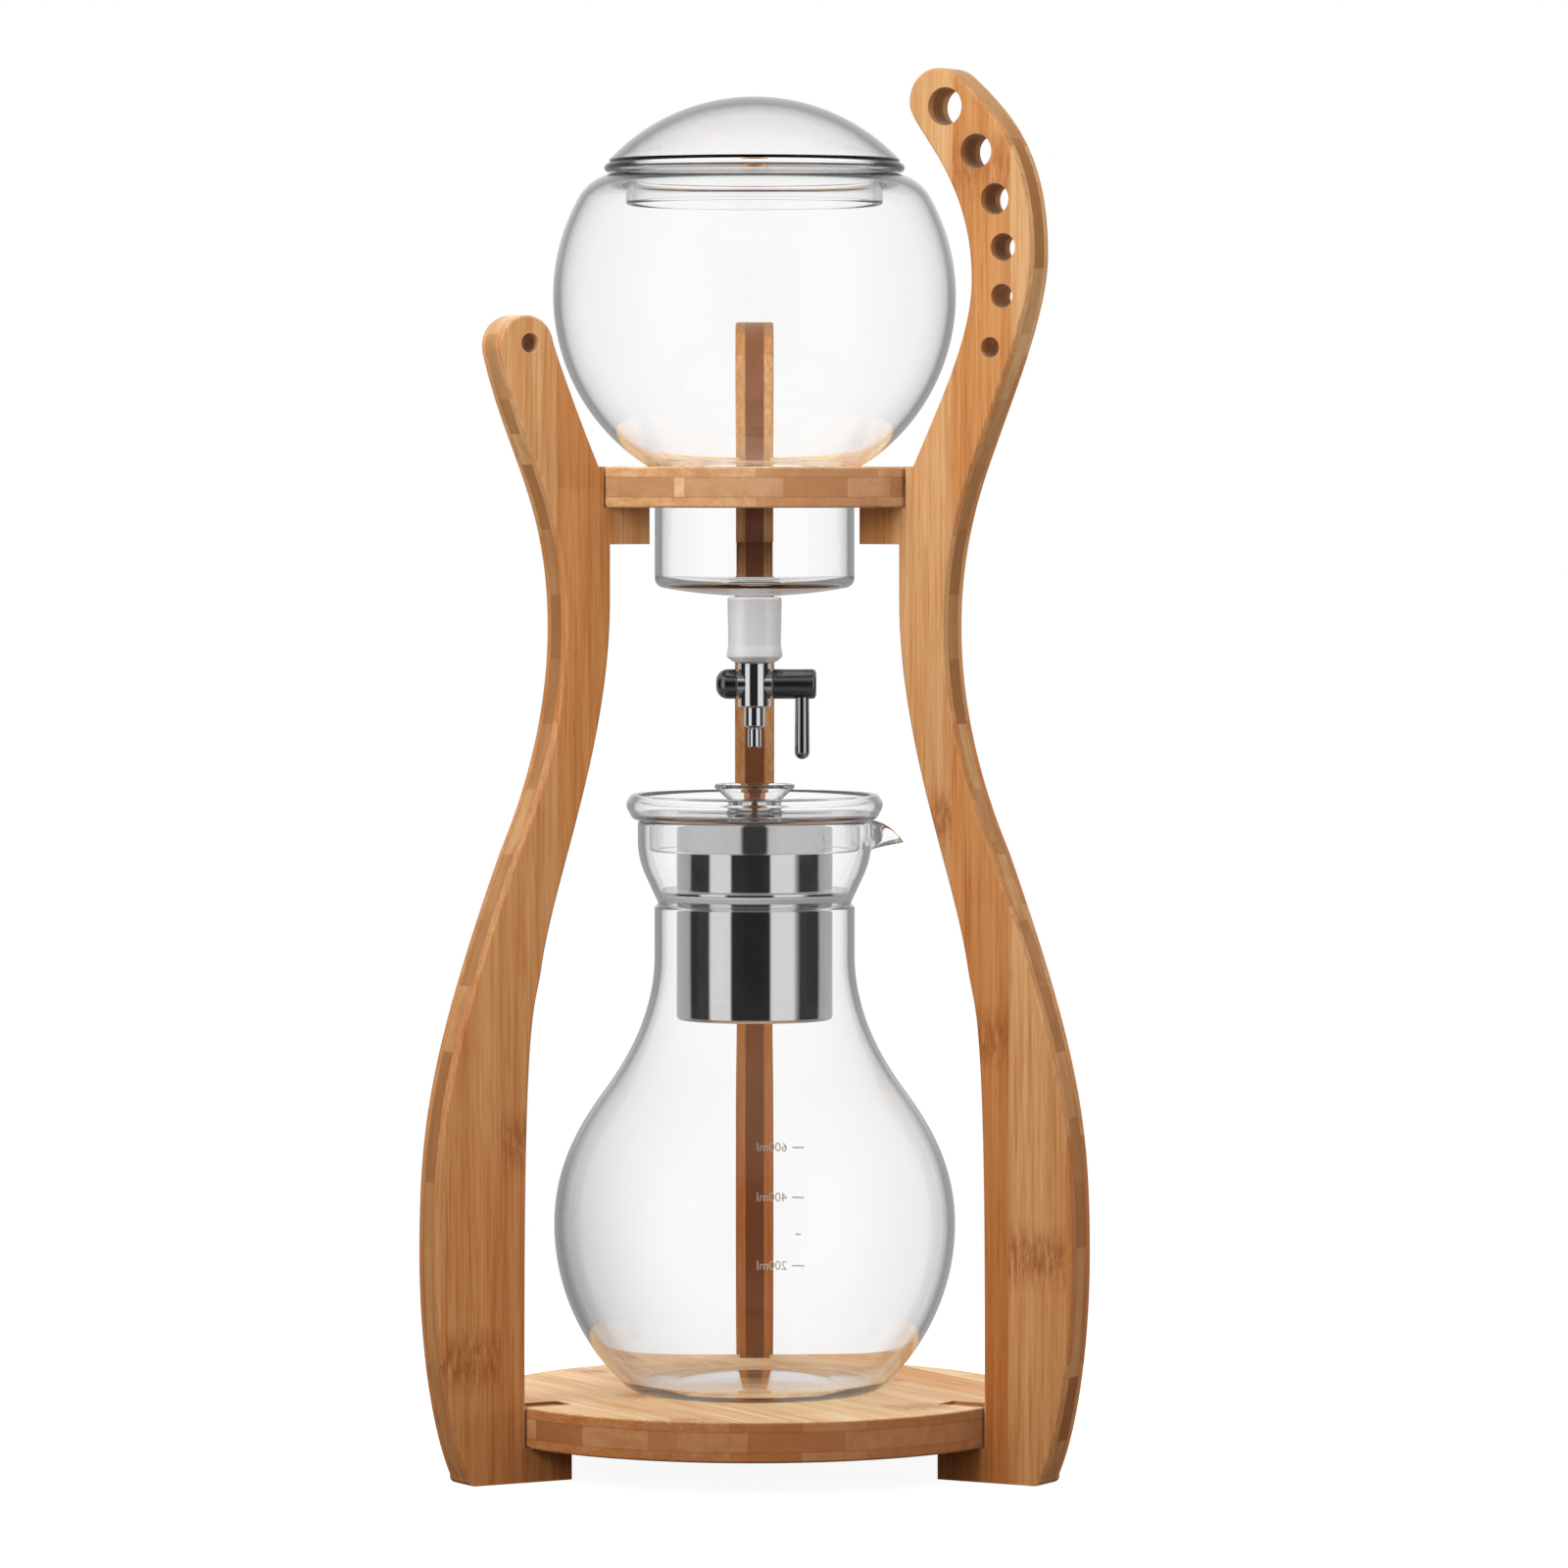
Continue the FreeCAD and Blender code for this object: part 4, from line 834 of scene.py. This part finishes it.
# The lid: a dish with a rolled rim, a skirt in the collar and a drip funnel in its middle
DISH_SKIRT_IN = 29.3
DISH_SKIRT_OUT = 31.3
FUNNEL_WAY = 2.5
FUNNEL_RADIUS = 4.5
FUNNEL_LIP = 11.9
funnel_end = LID_SEAT - 7.0
dish_skirt_end = LID_SEAT - 9.0
dish_floor = LID_SEAT + 2.0
funnel_top = LID_SEAT + 10.6
carafe_lid = draw_and_spin("glass_carafe_lid", soften([
    (FUNNEL_WAY, funnel_end, 0.3), (FUNNEL_RADIUS, funnel_end, 0.6),
    (FUNNEL_RADIUS, LID_SEAT - 3.0, 1.0), (9.5, LID_SEAT, 2.0), (DISH_SKIRT_IN, LID_SEAT, 1.0),
    (DISH_SKIRT_IN, dish_skirt_end, 0.9), (DISH_SKIRT_OUT, dish_skirt_end, 0.9),
    (DISH_SKIRT_OUT, LID_SEAT, 0.4), (36.2, LID_SEAT, 2.2), (38.6, LID_SEAT + 4.6, 2.8),
    (36.2, LID_SEAT + 8.2, 1.2), (34.6, LID_SEAT + 6.8, 0.8), (36.3, LID_SEAT + 4.4, 1.4),
    (35.0, dish_floor, 1.2), (8.0, dish_floor, 1.6), (8.0, dish_floor + 4.0, 1.6),
    (FUNNEL_LIP, LID_SEAT + 9.6, 0.6), (FUNNEL_LIP, funnel_top, 0.4), (9.9, funnel_top, 0.9),
    (6.0, dish_floor + 3.6, 2.0), (FUNNEL_WAY, LID_SEAT - 3.0, 1.5)], 6), closed=True)
fit(carafe_lid, glass, "carafe_cover", "clear_glass", "carafe_lid")


# ---- Studio ----

def studio_floor():
    """A plain white floor, seen by the camera alone, that fades into the white around it.

    It keeps a faint shade near the object. It bounces a little light up, and neither glass nor
    metal shows it.
    """
    material, make = empty_material("white floor")
    path = make("LightPath")
    where = make("TexCoord")
    reach = make("VectorMath", {0: where.outputs["Object"]}, operation="LENGTH")
    near = make("MapRange", {"Value": reach, "From Min": 0.22, "From Max": 0.55,
                             "To Min": 1.0, "To Max": 0.0}, interpolation_type="SMOOTHSTEP")
    bouncing = make("BsdfDiffuse", {"Color": colour("5a5a5a")})
    lit = make("BsdfDiffuse", {"Color": (0.2, 0.2, 0.2, 1)})
    glow = make("Emission", {"Color": (1, 1, 1, 1), "Strength": 0.93})
    white = make("Emission", {"Color": (1, 1, 1, 1), "Strength": 1.0})
    shaded = make("AddShader", {0: lit, 1: glow})
    seen = make("MixShader", {0: near, 1: white, 2: shaded})
    bounced = make("Math", {0: path.outputs["Diffuse Depth"], 1: 0.5}, operation="GREATER_THAN")
    both = make("MixShader", {0: bounced, 1: seen, 2: bouncing})
    turned = make("Math", {0: path.outputs["Transmission Depth"], 1: path.outputs["Glossy Depth"]},
                  operation="MAXIMUM")
    indirect = make("Math", {0: turned, 1: 0.5}, operation="GREATER_THAN")
    nothing = make("BsdfTransparent")
    table = make("MixShader", {0: indirect, 1: both, 2: nothing})
    make("OutputMaterial", {"Surface": table})
    return material


def grey_ramp(tree, factor, stops):
    """A colour ramp of greys, from its places and levels."""
    ramp = add(tree, "ValToRGB", {"Fac": factor})
    for number, (place, level) in enumerate(stops):
        stop = (ramp.color_ramp.elements[number] if number < 2
                else ramp.color_ramp.elements.new(place))
        stop.position = place
        stop.color = (level, level, level, 1)
    return ramp


def studio_world():
    """White all round. What polished metal mirrors has soft boxes with dark gaps between them.

    Places on a ramp round the object run from 0 to 1: the front is 0.25 and the back is 0.75.
    """
    world = bpy.data.worlds.new("white studio")
    world.use_nodes = True
    tree = world.node_tree
    tree.nodes.clear()
    make = partial(add, tree)
    path = make("LightPath")
    glossy_depth = path.outputs["Glossy Depth"]
    glass_depth = path.outputs["Transmission Depth"]
    way = make("TexCoord").outputs["Generated"]
    around = make("TexGradient", {"Vector": way}, gradient_type="RADIAL").outputs["Fac"]
    up = make("SeparateXYZ", {"Vector": way}).outputs[2]

    # Mirrored: soft boxes round the sides, a ceiling above them and a bright rear wall
    boxes = grey_ramp(tree, around, (
        (0.0, 0.02), (0.052, 0.03), (0.066, 0.95), (0.148, 0.95), (0.158, 0.02), (0.309, 0.02),
        (0.319, 0.95), (0.412, 0.95), (0.428, 0.35), (0.445, 0.03), (0.54, 0.03), (0.56, 0.5),
        (0.62, 0.55), (0.88, 0.55), (0.94, 0.5), (0.96, 0.02)))
    rise = make("MapRange", {"Value": up, "From Min": -0.6, "From Max": 0.8})
    window = grey_ramp(tree, rise, ((0.0, 0.0), (0.25, 1.0), (0.6, 1.0), (1.0, 0.0)))
    ceiling = grey_ramp(tree, rise, ((0.0, 0.3), (0.4, 0.5), (0.8, 0.9), (1.0, 1.0)))
    hung = make("Mix", {0: window, 6: ceiling, 7: boxes}, data_type="RGBA")
    rear = grey_ramp(tree, around, (
        (0.0, 0.0), (0.57, 0.0), (0.6, 0.4), (0.68, 0.4), (0.71, 1.0), (0.79, 1.0), (0.82, 0.4),
        (0.9, 0.4), (0.93, 0.0)))
    over_rear = make("MapRange", {"Value": up, "From Min": 0.0, "From Max": 0.1})
    rear_wall = make("Math", {0: rear, 1: over_rear}, operation="MULTIPLY")
    mirrored = make("Mix", {0: rear_wall, 6: hung, 7: (1, 1, 1, 1)}, data_type="RGBA")

    # Mirrored behind both walls of a vessel: a veil with one dark gap in front
    veil = grey_ramp(tree, around, (
        (0.0, 0.75), (0.19, 0.75), (0.205, 0.05), (0.295, 0.05), (0.31, 0.75)))
    both_walls = make("Math", {0: glass_depth, 1: 4.5}, operation="GREATER_THAN")
    mirrored = make("Mix", {0: both_walls, 6: mirrored, 7: veil}, data_type="RGBA")

    # Mirrored inside the glass itself: a plain grey
    in_glass = make("Math", {0: glass_depth, 1: 2.0, 2: 1.2}, operation="COMPARE")
    mirrored = make("Mix", {0: in_glass, 6: mirrored, 7: (0.25, 0.25, 0.25, 1)}, data_type="RGBA")

    # Seen straight, or through glass
    through = grey_ramp(tree, around, (
        (0.0, 0.92), (0.1, 0.88), (0.4, 0.88), (0.48, 0.95), (0.53, 1.0), (0.88, 1.0)))
    glazed = make("Math", {0: glass_depth, 1: 0.5}, operation="GREATER_THAN")
    behind = make("Mix", {0: glazed, 6: (1, 1, 1, 1), 7: through}, data_type="RGBA")
    glossy = make("Math", {0: glossy_depth, 1: 0.5}, operation="GREATER_THAN")
    seen = make("Mix", {0: glossy, 6: behind, 7: mirrored}, data_type="RGBA")

    # What lights the pieces between them is dimmer, and dim from below
    height = make("MapRange", {"Value": up, "From Min": -1.0, "From Max": 1.0})
    fill = grey_ramp(tree, height, ((0.0, 0.05), (0.5, 0.34), (0.75, 0.42), (1.0, 0.45)))
    bounced = make("Math", {0: path.outputs["Diffuse Depth"], 1: 0.5}, operation="GREATER_THAN")
    lighting = make("Mix", {0: bounced, 6: seen, 7: fill}, data_type="RGBA")
    background = make("Background", {"Color": lighting, "Strength": 1.0})
    make("OutputWorld", {"Surface": background})
    bpy.context.scene.world = world


def soft_box(name, place, aim, size, power):
    """A square area lamp that looks at a point. Polished things mirror the studio, not the lamp."""
    lamp = bpy.data.lights.new(name, "AREA")
    lamp.shape = "SQUARE"
    lamp.size = size
    lamp.energy = power
    holder = bpy.data.objects.new(name, lamp)
    holder.location = place
    holder.rotation_euler = (Vector(aim) - Vector(place)).to_track_quat("-Z", "Y").to_euler()
    holder.visible_glossy = False
    holder.visible_transmission = False
    bpy.context.scene.collection.objects.link(holder)


# The studio is laid out in metres
FLOOR_RADIUS = 0.9
FLOOR_DROP = 0.0002       # below the feet, so that the two don't flicker
deselect_all()
bpy.ops.mesh.primitive_circle_add(vertices=96, radius=FLOOR_RADIUS, fill_type="NGON",
                                  location=(0, 0, -FLOOR_DROP))
ground = bpy.context.object
ground.name = "studio_floor"
ground.data.materials.append(studio_floor())
studio_world()
soft_box("overhead box", (-0.05, -0.1, 1.2), (0, 0, 0.15), 0.7, 5.0)
soft_box("rear top box", (0.0, 0.75, 0.95), (0, 0, 0.05), 0.6, 10.5)
soft_box("front left box", (-0.65, -0.8, 0.68), (0, 0, 0.2), 0.6, 8.6)
soft_box("front right box", (0.7, -0.65, 0.68), (0, 0, 0.2), 0.6, 2.7)
soft_box("low side box", (0.9, -0.2, 0.1), (0.1, 0, 0.06), 0.3, 1.3)

# The camera stands 2.3 m off, at the height of the upper shelf, behind a long lens
eye = bpy.data.cameras.new("camera")
eye.sensor_width = 36.0
eye.lens = 180.0
eye.clip_end = 50.0
viewer = bpy.data.objects.new("camera", eye)
viewer.location = (0, -2.332, 0.2963)
viewer.rotation_euler = (math.radians(90 - 2.291), 0, math.radians(-0.215))
bpy.context.scene.collection.objects.link(viewer)
bpy.context.scene.camera = viewer
bpy.context.scene.view_settings.view_transform = "Standard"
